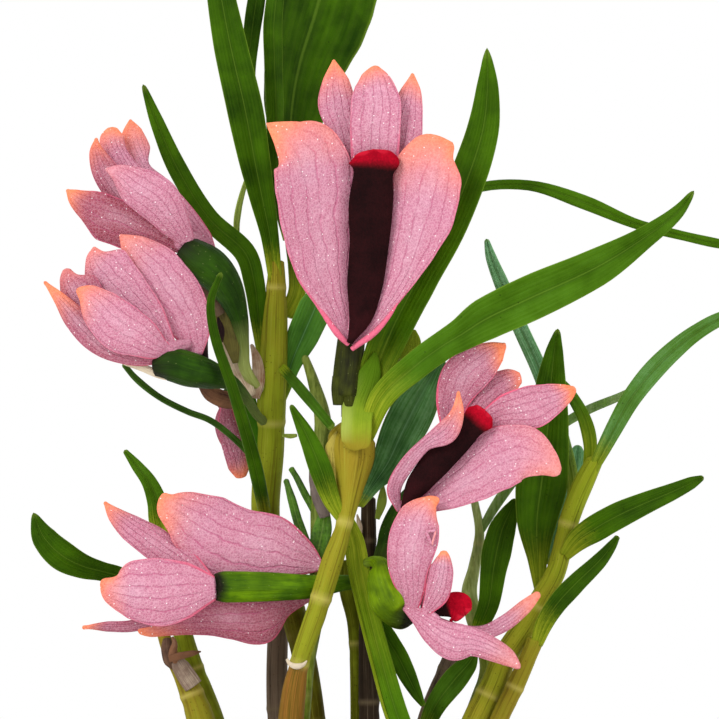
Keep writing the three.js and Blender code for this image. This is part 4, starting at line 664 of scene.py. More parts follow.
def blade(skins, rows, thick, fold, face=(0, -1, 0), steps=44, across=7, groove=0, ruffle=0, lobes=0, rise=1,
          tint=(0, 0, 0)):
    """A thin blade through (x, y, z, left half, right half, roll) rows, thinning to its edges and tip.

    A row may leave out its roll, and its right half where that is as wide as the left. The blade faces `face`,
    turned by the roll about its midrib, and its halves rise `fold` degrees to that face. `groove` sinks the
    midrib, `ruffle` waves the edges, and `lobes` draws out the middle and sides of its end.
    """
    rows = [(*row, *(row[3], 0)[len(row) - 4:]) for row in rows]
    path = smooth([[number * 1000 for number in row[:3]] for row in rows])
    widths = smooth([(left * 1000, right * 1000, roll) for *_, left, right, roll in rows])
    lift, spread, half = math.sin(math.radians(fold)), math.cos(math.radians(fold)), thick * 500
    last = .03
    times = [(1 - last) * k / steps for k in range(steps)]
    times += [1 - last * math.cos(math.pi * j / 12) for j in range(7)]
    stops = [math.sin(math.pi * k / (2 * across)) for k in range(-across, across + 1)]
    rings, place, tints, run, before = [], [], [], 0, path(0)
    for t in times:
        way, middle, width = along(path, t), path(t), widths(t)
        up = Vector(face)
        up = (up - way * up.dot(way)).normalized()
        up.rotate(Matrix.Rotation(math.radians(width.z), 3, way))
        side = way.cross(up)
        run += (middle - before).length / 10
        before = middle
        end = max(0, (t - 1 + last) / last)
        taper = max(math.sqrt(max(0, 1 - end ** 2)), .04)
        ring = {1: [], -1: []}
        for f in stops:
            reach = max(width.x if f < 0 else width.y, half) * taper
            bow = abs(f) ** rise
            wave = ruffle * reach * abs(f) ** 3 * math.sin(run * 17 + (2 if f < 0 else 0))
            pull = lobes * math.cos(7.2 * f) * max(0, t - .84) / .16
            dip = groove * math.exp(-(f / .13) ** 2)
            body = half * max(.16, math.sqrt(1 - min(1, abs(f)) ** 3.2)) * (.35 + .65 * math.sqrt(taper))
            for level in (1, -1):
                ring[level].append(middle + side * (f * reach * spread) + way * pull
                                   + up * (bow * reach * lift + wave - dip + level * body))
        rings.append(ring[1] + ring[-1][::-1])
        place += [(f, t, run) for f in stops] + [(f, t, run) for f in stops[::-1]]
        tints += [tint] * (2 * len(stops))
    skins.add(rings, place, tints)


def leaf_finish(name, deep, bright, vein, shine):
    """A leaf's skin: its marks are how bright it is, how far its foot is yellow, and how much painted sky reflection
    it has.
    """
    material, wire, place = finish(name)
    across = wire.mark("place").split()
    length, run = across.beside("Y"), across.beside("Z")
    tone = wire.mark("tint").split()
    foot, painted_reflection = tone.beside("Y"), tone.beside("Z")
    patches, fine = cloud(place, .2, 3, .55), cloud(place, 2.4, 3, .6)
    streaks = cloud(wire.node("CombineXYZ", sockets={0: across * 9, 1: run * .8, 2: tone}), 1.6, 3, .6)
    # the lengthwise streaks that lighten and darken the green are partly the leaf's own mottling and partly painted
    # sheen
    body = (tone + (patches - .5) * 1.1 + (streaks - .5) * .35).ramp(0, 1).blend(deep, bright)
    # painted reflection: a pale blue-green sheen of the sky painted into the colour, in patches and streaks
    bloom = (painted_reflection + (patches - .5) * painted_reflection * 1.6 + (streaks - .5) * painted_reflection).ramp(.05, .95)
    body = bloom.blend(body, (streaks * .6 + fine * .4).ramp(.3, .7).blend("4f8f5c", "93c496"))
    lines = (across + (fine - .5) * .02).stripe(5, .45)
    body = (lines * .05).blend(body, vein)
    rib = 1 - abs(across + (fine - .5) * .015).ramp(.012, .05)
    shade = 1 - abs(across).ramp(.04, .22)
    body = (shade * .3).blend(body, deep)
    body = (rib * .32).blend(body, vein)
    rim = abs(across).ramp(.93, 1)
    body = (rim * .45).blend(body, "7f9c30")
    yellow = 1 - (run - (fine - .5) * .25 - (streaks - .5) * .4).ramp(foot * .1, foot)
    foot_skin = (streaks * .7 + patches * .3).ramp(.35, .65).blend("68800c", "98a026")
    body = (yellow * .85).blend(body, foot_skin)
    tip = (length + (fine - .5) * .02).ramp(.96, 1)
    body = (tip * .4).blend(body, "86993c")
    body = (specks(place, .85, .05, .11, (.62, .7)) * .6).blend(body, "132004")
    relief = lines * .1 + fine * .35 + streaks * .4
    return close(material, relief, .0002, Base_Color=body, Roughness=shine + fine * .2 + (1 - patches) * .1,
                 Specular_IOR_Level=.035)


leaf_green = leaf_finish("green_leaf", "122b00", "426904", "6c8c2a", .34)
leaf_blue = leaf_finish("blue_leaf", "0d3610", "4a7c1c", "78a874", .28)
for name, (fold, rows) in LEAVES.items():
    skins = Skins()
    blade(skins, rows, LEAF_THICK, fold, steps=60, groove=.14, ruffle=.012, tint=LEAF_LOOKS[name])
    if name == "top_wide":
        # its left margin is rolled over, and catches more light than the blade behind it
        blade(skins, [(-.0093, .0034, .128, .0003, .0003, 10), (-.0104, .0026, .1345, .0009, .0009, 10),
                      (-.0105, .0021, .1395, .0011, .0011, 10), (-.0105, .0017, .145, .0013, .0012, 10),
                      (-.0107, .0016, .1505, .0013, .0013, 10), (-.0107, .0014, .156, .0013, .0013, 10),
                      (-.0096, .0024, .162, .0011, .0011, 10), (-.0054, .0064, .1695, .0004, .0004, 10)],
              ROLLED_THICK, -26, steps=60, ruffle=.01, tint=(.5, .2, 0))
    if name == "strap_down":
        # its outer edge is pale yellow-green along its whole length
        blade(skins, [(x - half * EDGE_OUT, y - .0006, z, .0002) for x, y, z, half in rows[1:-1]], EDGE_THICK, 0,
              steps=50, across=3, tint=(1, 9, 0))
    blue = name in BLUE_LEAVES
    skins.make(name + "_leaf", leaf_blue if blue else leaf_green, "leaf_blue_green" if blue else "leaf_green",
               "leaf_" + name)


# Two shoots of this year are too slender to part from their small grassy leaves: each is a thin green stem
# with the leaves rooted in its side, all one soft piece. The rows are the stem's first, then each leaf's.
SHOOTS = {
    "back": (
        [
            (.0095, .007, .04, .0009), (.0105, .007, .054, .00095), (.014, .007, .0675, .001),
            (.0161, .007, .0744, .001), (.0147, .007, .0796, .00105), (.0138, .007, .0836, .001),
            (.0144, .007, .0868, .00075), (.0151, .007, .0912, .0006), (.0146, .007, .0945, .0005),
            (.0139, .007, .0975, .0004),
        ],
        [
            (.015, .007, .091, .00045), (.0172, .007, .0948, .00065), (.021, .007, .1, .00065),
            (.025, .007, .1044, .0006), (.0285, .007, .1066, .0006), (.0332, .007, .1086, .0005),
            (.0356, .007, .11, .0003),
        ],
    ),
    "thin": (
        [
            (-.0074, -.0026, .04, .00095), (-.0075, -.0026, .054, .00095), (-.0072, -.0026, .068, .001),
            (-.0066, -.0026, .075, .001), (-.0056, -.0026, .0805, .001), (-.0052, -.0026, .086, .00105),
            (-.0051, -.0026, .094, .00105), (-.005, -.0026, .1, .00115), (-.0046, -.0026, .1055, .00105),
            (-.0058, -.0026, .1104, .0007), (-.0069, -.0026, .1136, .00045),
        ],
        [
            (-.0056, -.0028, .0876, .0006), (-.0068, -.003, .0906, .0006), (-.0077, -.0032, .093, .0006),
            (-.0084, -.0034, .0955, .00055), (-.0092, -.0036, .0982, .0003),
        ],
        [
            (-.0052, -.0026, .0933, .00045), (-.0061, -.0028, .095, .00045), (-.007, -.003, .0967, .00045),
            (-.0078, -.0032, .0983, .0004), (-.0086, -.0034, .0996, .0003),
        ],
        [
            (-.0054, -.003, .086, .0008), (-.0052, -.0034, .089, .0013), (-.0046, -.0036, .092, .0012),
            (-.0042, -.0036, .0948, .0004),
        ],
    ),
}
young, wire, place = finish("young_shoot")
across, ring = wire.mark("place").split(), wire.mark("tint").split()
on_leaf, bleached = ring.beside("Y"), ring.beside("Z")
patches, fine = cloud(place, .4, 3, .6), cloud(place, 3, 3, .6)
streaks = cloud(place.stretched(1, 1, .12), 2.6, 3, .6)
stalk_skin = (patches * .5 + streaks * .5).ramp(.35, .65).blend("4a5a10", "7f8c32")
stalk_skin = bleached.blend(stalk_skin, streaks.ramp(.3, .7).blend("8f9c58", "b9c48c"))
stalk_skin = (ring * .5).blend(stalk_skin, "a89f62")
leaf_skin = (patches + (fine - .5) * .4).ramp(.3, .7).blend("1c4204", "4c7a14")
leaf_skin = bleached.blend(leaf_skin, streaks.ramp(.3, .7).blend("7f9c50", "b4c48e"))
leaf_skin = ((1 - abs(across).ramp(.03, .12)) * .3).blend(leaf_skin, "86a24a")
young = close(young, streaks + fine * .5, .0002, Base_Color=on_leaf.blend(stalk_skin, leaf_skin),
              Roughness=.45 + fine * .2, Specular_IOR_Level=.08)
# How bleached each shoot is at its top
PALE_SHOOT = {"back": .45, "thin": .1}
for name, (stalk, *leaves) in SHOOTS.items():
    skins = Skins()
    rings = [.052 + .0095 * k for k in range(6)]
    stem(skins, stalk, sides=16, steps=80, shape=lambda z, t: 1 + .06 * ring_at(z, rings, .0004),
         tint=lambda z, t: (ring_at(z, rings, .0003), 0, PALE_SHOOT[name] * min(1, max(0, (z - .078) / .006))))
    for rows in leaves:
        blade(skins, rows, LEAF_THICK, 10, steps=36, across=4, groove=.1, tint=(0, 1, PALE_SHOOT[name] * .8))
    skins.make(name + "_shoot", young, "cane_green", "shoot_" + name)


# The flowers have five thick waxy tepals each, rose pink under a fine net, with darker veins, crimson edges
# and orange tips. All five grow from one fleshy foot; the last of the flowers is still a hanging bud.
TEPAL_THICK = .0005
SCAR_RADIUS = .0002
FLOWERS = {
    "centre": {
        "dorsal": ((0, -1, .1), 10, [
            (.0018, -.0106, .135, .0026), (.0019, -.0109, .138, .003), (.002, -.0112, .1415, .0032, .0031),
            (.0023, -.0114, .1447, .0034, .0029), (.0022, -.0112, .147, .0028, .0021),
            (.002, -.0111, .1484, .0018, .0013), (.0019, -.011, .1494, .0003),
        ]),
        "left_petal": ((.25, -1, 0), 8, [
            (.0002, -.0102, .1355, .0012), (-.0009, -.0102, .1384, .0024, .0016),
            (-.0018, -.0102, .1414, .0022, .0021), (-.0027, -.0102, .1446, .0026, .0023), (-.003, -.01, .1476, .0017),
            (-.0032, -.0098, .1502, .0001),
        ]),
        "right_petal": ((-.25, -1, 0), 8, [
            (.0039, -.0102, .1355, .0016, .003), (.0046, -.0102, .1382, .002, .0032),
            (.0053, -.0102, .1414, .0022, .0027), (.0059, -.0102, .1443, .0019, .0021),
            (.0063, -.01, .1465, .0011, .0014), (.0066, -.0098, .1485, .0001),
        ]),
        "left_sepal": ((.45, -.9, 0), 5, [
            (-.0015, -.0112, .1151, .0003), (-.003, -.0118, .1191, .0018, .0022),
            (-.0048, -.0126, .1244, .0037, .0042), (-.0056, -.0132, .1297, .0047, .0052),
            (-.006, -.0136, .1349, .0052, .0059), (-.007, -.0138, .1386, .0045, .005),
            (-.0089, -.0138, .1404, .0023, .0026), (-.0115, -.0136, .1422, .0001),
        ]),
        "right_sepal": ((-.45, -.9, 0), 5, [
            (-.0007, -.0112, .1147, .0003), (.0024, -.0119, .1184, .0011, .0009), (.0048, -.0125, .1223, .0026, .0017),
            (.0067, -.0131, .1266, .004, .003), (.008, -.0135, .1311, .005, .0044),
            (.0089, -.0137, .1354, .0053, .0044), (.01, -.0138, .1384, .0039, .0024), (.0115, -.0136, .1398, .0004),
        ]),
        "foot": [
            (-.0009, -.011, .1157, .0008), (.0003, -.0106, .1241, .0011), (.0012, -.0099, .1328, .0016),
            (.0017, -.0097, .1391, .0016),
        ],
        "lip": ((0, -1, .1), -12, [
            (-.0012, -.0122, .1151, .0003), (.0001, -.0126, .1184, .0015, .0016), (.0007, -.013, .1226, .0023),
            (.0012, -.0134, .1274, .0025), (.0014, -.0137, .1322, .0028), (.0017, -.0139, .1359, .0025),
            (.0018, -.0137, .1375, .0032), (.0017, -.013, .1387, .0023),
        ]),
        "stalk": [
            (.0008, -.0082, .1311, .0014), (.0002, -.008, .1259, .0016), (-.001, -.0084, .1156, .00165),
            (-.0017, -.0093, .109, .00165), (-.0019, -.0095, .1058, .0012),
        ],
    },
    "upper_left": {
        "dorsal": ((0, -1, -.1), -14, [
            (-.0212, -.009, .1275, .001), (-.0227, -.0106, .1296, .002), (-.0251, -.0122, .1328, .0029),
            (-.0275, -.0126, .1344, .0026), (-.0298, -.0124, .136, .0013), (-.0314, -.012, .1366, .0001),
        ]),
        "left_petal": ((0, -1, -.3), -8, [
            (-.0218, -.0084, .1268, .0006), (-.0247, -.0089, .1282, .0022, .0016),
            (-.0284, -.0092, .1301, .0038, .0022), (-.0314, -.0092, .1312, .0038, .0023),
            (-.034, -.0088, .1323, .0019), (-.0356, -.0082, .1335, .001, .0008), (-.0363, -.0078, .1341, .0001),
        ]),
        "left_sepal": ((.1, -1, -.2), -8, [
            (-.0218, -.0074, .1271, .0006), (-.026, -.0072, .1301, .0014), (-.0295, -.007, .1332, .0016, .0018),
            (-.0316, -.0068, .1363, .0016, .0018), (-.0326, -.0066, .1388, .001), (-.0327, -.0064, .1406, .0001),
        ]),
        "right_petal": ((0, -1, 0), -8, [
            (-.0215, -.0064, .1275, .0006), (-.0248, -.0054, .1314, .0016), (-.0275, -.005, .135, .0019, .0015),
            (-.0298, -.0048, .1385, .0019, .0011), (-.0307, -.0048, .1406, .0017, .0015),
            (-.0307, -.0048, .142, .0005),
        ]),
        "right_sepal": ((0, -1, .2), -8, [
            (-.018, -.0046, .1262, .0003), (-.0194, -.0044, .1282, .0016, .0011), (-.0222, -.004, .1314, .002, .0015),
            (-.025, -.0034, .135, .002, .00115), (-.0265, -.0032, .1372, .002, .0004),
            (-.0275, -.003, .1392, .0019, .0015), (-.0282, -.003, .1415, .0015, .0011), (-.0286, -.003, .143, .0001),
        ]),
        "foot": [
            (-.0191, -.0046, .1272, .0008), (-.0206, -.006, .1275, .0013), (-.0218, -.0074, .1276, .0016),
            (-.023, -.008, .1286, .0011),
        ],
        "lip": ((0, -1, 0), -10, [
            (-.0223, -.0062, .1279, .0004), (-.0248, -.0063, .1301, .0011), (-.0273, -.0062, .1323, .0014),
            (-.0293, -.006, .1341, .0011),
        ]),
        "stalk": [
            (-.022, -.0076, .1268, .0019), (-.0202, -.008, .1255, .0024), (-.0181, -.008, .1241, .0024),
            (-.0164, -.0074, .1219, .002), (-.015, -.0062, .1184, .0012), (-.0145, -.005, .115, .0008),
            (-.0143, -.0042, .1122, .00075), (-.0132, -.0028, .1102, .00065), (-.012, -.0012, .1094, .0006),
        ],
    },
    "mid_left": {
        "dorsal": ((0, -1, -.1), -14, [
            (-.0235, -.0136, .114, .0008), (-.0251, -.015, .1146, .0019), (-.027, -.016, .1157, .0027),
            (-.0293, -.0164, .1169, .0032), (-.032, -.0164, .1195, .0027, .0025), (-.0336, -.016, .121, .0015),
            (-.0348, -.0156, .1217, .0003),
        ]),
        "left_petal": ((0, -1, -.3), -8, [
            (-.0239, -.0132, .113, .0005), (-.0279, -.014, .1132, .001, .0013), (-.0319, -.0144, .115, .0016, .0015),
            (-.0349, -.0142, .118, .0016, .0015), (-.037, -.0138, .1205, .0008, .0009), (-.0389, -.0134, .1227, .0001),
        ]),
        "left_sepal": ((.1, -1, -.2), -8, [
            (-.0236, -.013, .114, .0006), (-.0295, -.0132, .116, .0015), (-.033, -.0132, .1189, .0015, .0026),
            (-.035, -.013, .1215, .0019, .0031), (-.0359, -.0128, .123, .0012, .0015), (-.0362, -.0126, .1243, .0004),
        ]),
        "right_petal": ((0, -1, 0), -8, [
            (-.0231, -.0126, .1146, .0006), (-.0259, -.0122, .1184, .0025, .002), (-.029, -.012, .1218, .0034, .0028),
            (-.0314, -.0118, .1243, .0032, .0033), (-.0325, -.0118, .1258, .0015), (-.0328, -.0118, .127, .0001),
        ]),
        "right_sepal": ((0, -1, .2), -6, [
            (-.02, -.0108, .1136, .0013, .0006), (-.0206, -.0106, .1171, .0029, .0024),
            (-.0226, -.0105, .121, .0035, .0032), (-.0252, -.0104, .1245, .0033, .003),
            (-.0278, -.0104, .127, .0022, .0017), (-.0297, -.0106, .1285, .0001),
        ]),
        "foot": [
            (-.021, -.0109, .115, .001), (-.0222, -.0116, .1147, .0014), (-.0236, -.013, .1144, .0016),
            (-.0251, -.0138, .115, .0011),
        ],
        "lip": ((0, -1, 0), -10, [
            (-.0246, -.013, .1151, .0004), (-.0271, -.013, .1167, .001), (-.0293, -.013, .1184, .0011),
            (-.031, -.013, .12, .0009),
        ]),
        "stalk": [
            (-.0256, -.0128, .1122, .0011), (-.0236, -.0128, .1125, .002), (-.0212, -.0124, .1119, .0021),
            (-.0186, -.011, .1112, .00175), (-.0161, -.0084, .1103, .001), (-.0143, -.0062, .1086, .0007),
            (-.0128, -.0034, .1062, .0006), (-.0118, -.0008, .1052, .0006),
        ],
    },
    "lower_left": {
        "dorsal": ((-.1, -1, 0), -10, [
            (-.0178, -.01, .0848, .0015), (-.021, -.011, .0846, .0035), (-.0246, -.0118, .0843, .0043),
            (-.0283, -.0122, .0844, .0034, .0039), (-.0306, -.0122, .0848, .0019, .0022),
            (-.0319, -.012, .0858, .0003),
        ]),
        "left_petal": ((0, -1, .3), -8, [
            (-.019, -.0088, .0854, .0013), (-.022, -.0076, .0879, .0022, .002), (-.0254, -.0072, .0903, .0021),
            (-.0283, -.007, .0923, .0018, .0016), (-.0303, -.007, .0939, .0011, .0009), (-.0317, -.007, .0954, .0001),
        ]),
        "right_petal": ((0, -1, -.4), -8, [
            (-.019, -.0088, .0841, .0011), (-.0241, -.0084, .0813, .0011), (-.0281, -.008, .08, .0008),
            (-.0312, -.0078, .0799, .0007), (-.0329, -.0078, .0799, .0004), (-.0344, -.0078, .0798, .0001),
        ]),
        "left_sepal": ((0, -1, .15), -6, [
            (-.0044, -.0056, .0871, .0003), (-.0072, -.0056, .0885, .0029, .0024), (-.0111, -.0058, .09, .0053, .0039),
            (-.0148, -.0062, .0911, .0058, .0036), (-.0183, -.0068, .0924, .0052, .0039),
            (-.0214, -.0074, .0943, .0041, .0026), (-.0236, -.0078, .0954, .0022, .0013),
            (-.0245, -.0078, .0964, .0004, .0003),
        ]),
        "right_sepal": ((0, -1, -.35), -6, [
            (-.006, -.006, .0834, .0003), (-.0092, -.0064, .0824, .0014, .0018), (-.0124, -.007, .0811, .0038, .0032),
            (-.0158, -.0074, .0811, .0031, .0032), (-.0193, -.0076, .081, .0024, .0026),
            (-.0233, -.0078, .0805, .0019, .0018), (-.026, -.0078, .0796, .0011, .0009),
            (-.0275, -.0078, .0794, .0004),
        ]),
        "foot": [
            (-.0067, -.0056, .0853, .0008), (-.0121, -.0056, .0853, .0013), (-.0171, -.007, .0849, .0015),
            (-.0202, -.0096, .0848, .0017),
        ],
        "lip": ((0, -1, 0), 10, [
            (-.0086, -.0046, .0846, .0004), (-.0136, -.0046, .0846, .0015), (-.018, -.0048, .0846, .0018),
            (-.0217, -.005, .0849, .0018), (-.0233, -.005, .0849, .0015),
        ]),
        "stalk": [
            (-.0178, -.0094, .0849, .0017), (-.0165, -.009, .0849, .002), (-.0118, -.0086, .0849, .0019),
            (-.0059, -.007, .0849, .0015), (-.0018, -.0049, .0853, .001), (.0006, -.0032, .0852, .0008),
        ],
    },
    "right": {
        "dorsal": ((-.2, -1, .2), 8, [
            (.0132, -.0096, .1041, .001), (.0149, -.0086, .1073, .0017, .0016), (.0168, -.008, .1093, .002, .0018),
            (.0188, -.0078, .1105, .0015, .0018), (.0201, -.0078, .1108, .0006),
        ]),
        "left_petal": ((.2, -1, -.1), 6, [
            (.0112, -.0094, .1038, .001), (.0116, -.0092, .1082, .0023, .0022), (.0129, -.0092, .111, .0029),
            (.0149, -.0093, .1131, .0021, .0028), (.0169, -.0094, .1144, .001, .0017),
            (.0181, -.0096, .115, .0001, .0003),
        ]),
        "right_petal": ((-.1, -1, .2), 6, [
            (.0147, -.0102, .1051, .0009), (.0184, -.011, .1066, .0023, .002), (.0214, -.0114, .1072, .0027, .0028),
            (.024, -.0117, .1082, .002), (.0258, -.0119, .109, .0011), (.0267, -.012, .1095, .0003),
        ]),
        "left_sepal": ((.3, -1, -.1), 6, [
            (.0049, -.0106, .0943, .0003), (.0043, -.0116, .0971, .001, .0009), (.0056, -.0128, .0998, .001),
            (.0079, -.014, .1024, .0009, .0008), (.0105, -.015, .1043, .0013, .0017),
            (.0119, -.0154, .1065, .0008, .001), (.0122, -.0156, .1092, .0001),
        ]),
        "right_sepal": ((-.3, -.95, .3), 5, [
            (.0055, -.0104, .0941, .0003), (.0076, -.0108, .0948, .0009), (.0103, -.0114, .0964, .0023),
            (.0143, -.0122, .0988, .0035, .0036), (.0173, -.0128, .1007, .0041), (.0204, -.0134, .1014, .0036),
            (.0229, -.0136, .1004, .002), (.0247, -.0134, .0989, .0005),
        ]),
        "foot": [
            (.0055, -.0104, .0946, .0009), (.009, -.01, .0989, .0011), (.0127, -.0096, .1031, .0017),
            (.0149, -.0098, .1056, .0013),
        ],
        "lip": ((0, -1, 0), -10, [
            (.0054, -.012, .0946, .0004), (.0072, -.0126, .0976, .0015), (.0097, -.013, .1005, .0019, .0018),
            (.012, -.0132, .103, .0018), (.0136, -.0133, .1048, .0015, .0017), (.0147, -.0132, .1061, .0017, .0022),
            (.0152, -.0128, .1067, .0011, .0016),
        ]),
        "stalk": [
            (.0127, -.0076, .1031, .0013), (.0095, -.0054, .0988, .0013), (.0056, -.004, .095, .0013),
            (.0038, -.0036, .092, .0012), (.0031, -.0034, .0894, .0011), (.0022, -.0028, .0878, .0008),
            (.0013, -.0022, .0872, .0006),
        ],
    },
    "lower_right": {
        "dorsal": ((-.2, -1, 0), -12, [
            (.0064, -.0116, .0819, .0008), (.0064, -.0128, .0846, .0021, .0017), (.0061, -.0138, .0876, .0029, .0026),
            (.0066, -.0144, .0908, .0033, .0031), (.0075, -.0144, .0938, .0027, .0026), (.0088, -.014, .0954, .0011),
            (.0098, -.0136, .0959, .0003),
        ]),
        "left_petal": ((-.3, -1, 0), -8, [
            (.008, -.0124, .0816, .0005), (.0096, -.0138, .0845, .0017, .0016), (.0102, -.0144, .087, .0017, .0014),
            (.0104, -.0144, .0887, .001, .0008), (.0104, -.0142, .0895, .0004, .0003),
        ]),
        "right_petal": ((.2, -1, 0), -8, [
            (.008, -.0104, .0818, .0005), (.0087, -.0104, .0845, .0011), (.0092, -.0104, .0867, .001),
            (.0095, -.0104, .0883, .0001),
        ]),
        "left_sepal": ((0, -1, .2), -6, [
            (.0055, -.0116, .0824, .0003), (.0072, -.0126, .0813, .0009, .001), (.0094, -.0136, .0797, .0016, .002),
            (.0118, -.0142, .0784, .0023, .0025), (.0141, -.0144, .0781, .0019, .0016), (.0163, -.0144, .0774, .0015),
            (.0183, -.0142, .0763, .0011), (.0198, -.014, .075, .0003),
        ]),
        "right_sepal": ((0, -1, .2), 0, [
            (.008, -.0108, .0813, .0006), (.0118, -.0104, .0795, .001), (.0152, -.0102, .07925, .0009),
            (.0179, -.01, .0804, .001), (.0204, -.0098, .0824, .0009), (.0223, -.0096, .0842, .0004),
        ]),
        "foot": [
            (.006, -.0112, .0822, .0011), (.0072, -.0116, .0817, .0013), (.0087, -.0122, .0815, .0011),
            (.0099, -.0128, .0807, .0008),
        ],
        "lip": ((-.2, -1, 0), 0, [
            (.0082, -.012, .0818, .0004), (.0099, -.012, .0822, .0009), (.0113, -.012, .0826, .0017, .0016),
            (.0123, -.0122, .0824, .0019, .002), (.0129, -.0124, .0817, .0011, .0015),
        ]),
        "stalk": [
            (.0063, -.0106, .0809, .0012), (.0053, -.0099, .0817, .0024), (.0041, -.0096, .0835, .003),
            (.0031, -.0096, .0858, .0023), (.0027, -.0088, .0874, .0012), (.0018, -.0076, .088, .0007),
            (.0008, -.0066, .0878, .0006),
        ],
    },
    "back_left": {
        "dorsal": ((0, -1, 0), -8, [
            (-.0167, .0028, .1077, .0006), (-.0165, .0022, .105, .0011, .0013), (-.0157, .0018, .1021, .0014, .0015),
            (-.0151, .0019, .0997, .0014), (-.0148, .0022, .0982, .0006),
        ]),
        "left_petal": ((-.2, -1, 0), -8, [
            (-.0167, .0036, .1077, .0005), (-.0172, .0036, .1053, .001), (-.0167, .0034, .1031, .001),
            (-.0159, .0034, .1007, .0001),
        ]),
        "right_petal": ((0, -1, .2), -8, [
            (-.0167, .0034, .1077, .0005), (-.015, .0034, .1076, .0008), (-.0137, .0036, .1071, .0009),
            (-.0124, .0038, .1062, .0003),
        ]),
        "left_sepal": ((.2, -1, 0), -8, [
            (-.0165, .0044, .1077, .0005), (-.0155, .0044, .105, .0012), (-.0146, .0042, .1023, .0012),
            (-.0142, .0042, .1002, .0001),
        ]),
        "right_sepal": ((.3, -1, 0), -8, [
            (-.0165, .0046, .1077, .0005), (-.0161, .005, .105, .0012), (-.0154, .005, .1022, .0012),
            (-.0149, .005, .0997, .0001),
        ]),
        "foot": [
            (-.0172, .0036, .1085, .001), (-.0167, .0036, .1077, .0013), (-.0165, .0036, .1067, .001),
        ],
        "stalk": [
            (-.0167, .0036, .108, .0008), (-.016, .003, .1092, .0008), (-.0137, .0016, .11, .0007),
            (-.0114, .0006, .11, .0006),
        ],
    },
}
TEPALS = ("dorsal", "left_petal", "right_petal", "left_sepal", "right_sepal")
# How dusky each flower is, from clear pink to warm rose, partly its own rose and partly painted shade, and how
# strongly it is veined
PINKS = {"centre": (.14, .9), "upper_left": (.22, .8), "mid_left": (.22, .8), "lower_left": (.14, 1),
         "right": (.2, .7), "lower_right": (.24, .6), "back_left": (.62, .4)}
# How much painted shade makes one tepal duskier than the rest of its flower, where it stands behind them
TEPAL_PAINTED_SHADE = {("upper_left", "left_petal"): .6, ("upper_left", "left_sepal"): .45, ("lower_left", "right_sepal"): .6,
          ("lower_left", "right_petal"): .45, ("lower_left", "left_petal"): .2, ("mid_left", "left_petal"): .4,
          ("mid_left", "left_sepal"): .35, ("right", "left_petal"): .25, ("right", "dorsal"): .3,
          ("right", "right_petal"): .12}
# How much of a tepal's orange tip is missing, or below 0, how much further the orange reaches
PALER_TIPS = {("upper_left", "dorsal"): .75, ("upper_left", "left_petal"): -.3, ("mid_left", "left_sepal"): .55,
              ("mid_left", "right_petal"): .35, ("mid_left", "right_sepal"): .35, ("mid_left", "left_petal"): -.2,
              ("lower_right", "left_sepal"): .6, ("lower_right", "right_sepal"): .2, ("right", "right_sepal"): .5,
              ("right", "right_petal"): -.8, ("right", "left_petal"): -.7, ("right", "dorsal"): .2,
              ("lower_right", "dorsal"): -.35, ("lower_right", "left_petal"): -.3}


def tepal_finish(name, clear, dusky):
    """Net, painted glints and sheen, veins, tip and edge of a tepal: its marks are how dusky (its own rose and painted
    shade), how veined and how plain-tipped.
    """
    material, wire, place = finish(name)
    across, dusk = wire.mark("place").split(), wire.mark("tint").split()
    length = across.beside("Y")
    veined, tipped = dusk.beside("Y"), 1 - dusk.beside("Z")
    patches, fine, grain = cloud(place, .22, 3, .5), cloud(place, 3.2, 2, .6), cloud(place, 1.5, 3, .7)
    body = (dusk + (patches - .5) * .5).ramp(0, 1).blend(clear, dusky)
    # painted sheen: the middle of each tepal is painted paler where it catches the light
    painted_sheen = (1 - abs(across).ramp(.05, .75)) * length.ramp(.1, .4) * patches.ramp(.3, .65)
    body = (painted_sheen * .3).blend(body, "d9b3c4")
    body = (grain.ramp(.4, .68) * .28).blend(body, "a8546c")
    swirl = place.node("TexNoise", sockets={"Vector": place, "Scale": 1.2, "Detail": 2}, output="Color")
    twisted = place.node("VectorMath", {"operation": "MULTIPLY_ADD"}, {0: swirl, 1: (.5, .5, .5), 2: place})
    net = place.node("TexVoronoi", {"feature": "DISTANCE_TO_EDGE"}, {"Vector": twisted, "Scale": 2.8})
    mesh = (1 - net.ramp(.02, .17)) * (.2 + fine)
    body = (mesh * (.38 - .2 * dusk)).blend(body, "f0c8d4")
    wobble = (cloud(place, .35, 3) - .5) * .34
    lines = (across + wobble).stripe(2.7, .11) * (1 - length.ramp(.7, .92)) * length.ramp(.02, .12)
    body = (lines * veined * cloud(place, .5, 2).ramp(.3, .55) * .52).blend(body, "b04470")
    tip = (length + (patches - .5) * .12 + abs(across) * .06).ramp(.6, 1.05) * tipped
    body = tip.blend(body, (fine * .6 + patches * .4).ramp(.3, .7).blend("e4764f", "f5926c"))
    low = 1 - length.ramp(.05, .4)
    edge = (abs(across) + low * .12).ramp(.93, 1) * tipped
    body = (edge * (.4 + low * .45)).blend(body, tip.blend("dc5f7c", "f57a58"))
    # painted glints: tiny white highlights painted into the colour as sparkles
    body = (specks(place, 1.6, .06, .17, (.45, .5)) * .85).blend(body, "fff6f6")
    return close(material, fine * .4 + net * .6 + (1 - lines) * .3, .00022, Base_Color=body,
                 Roughness=.55 + fine * .15, Specular_IOR_Level=.1)


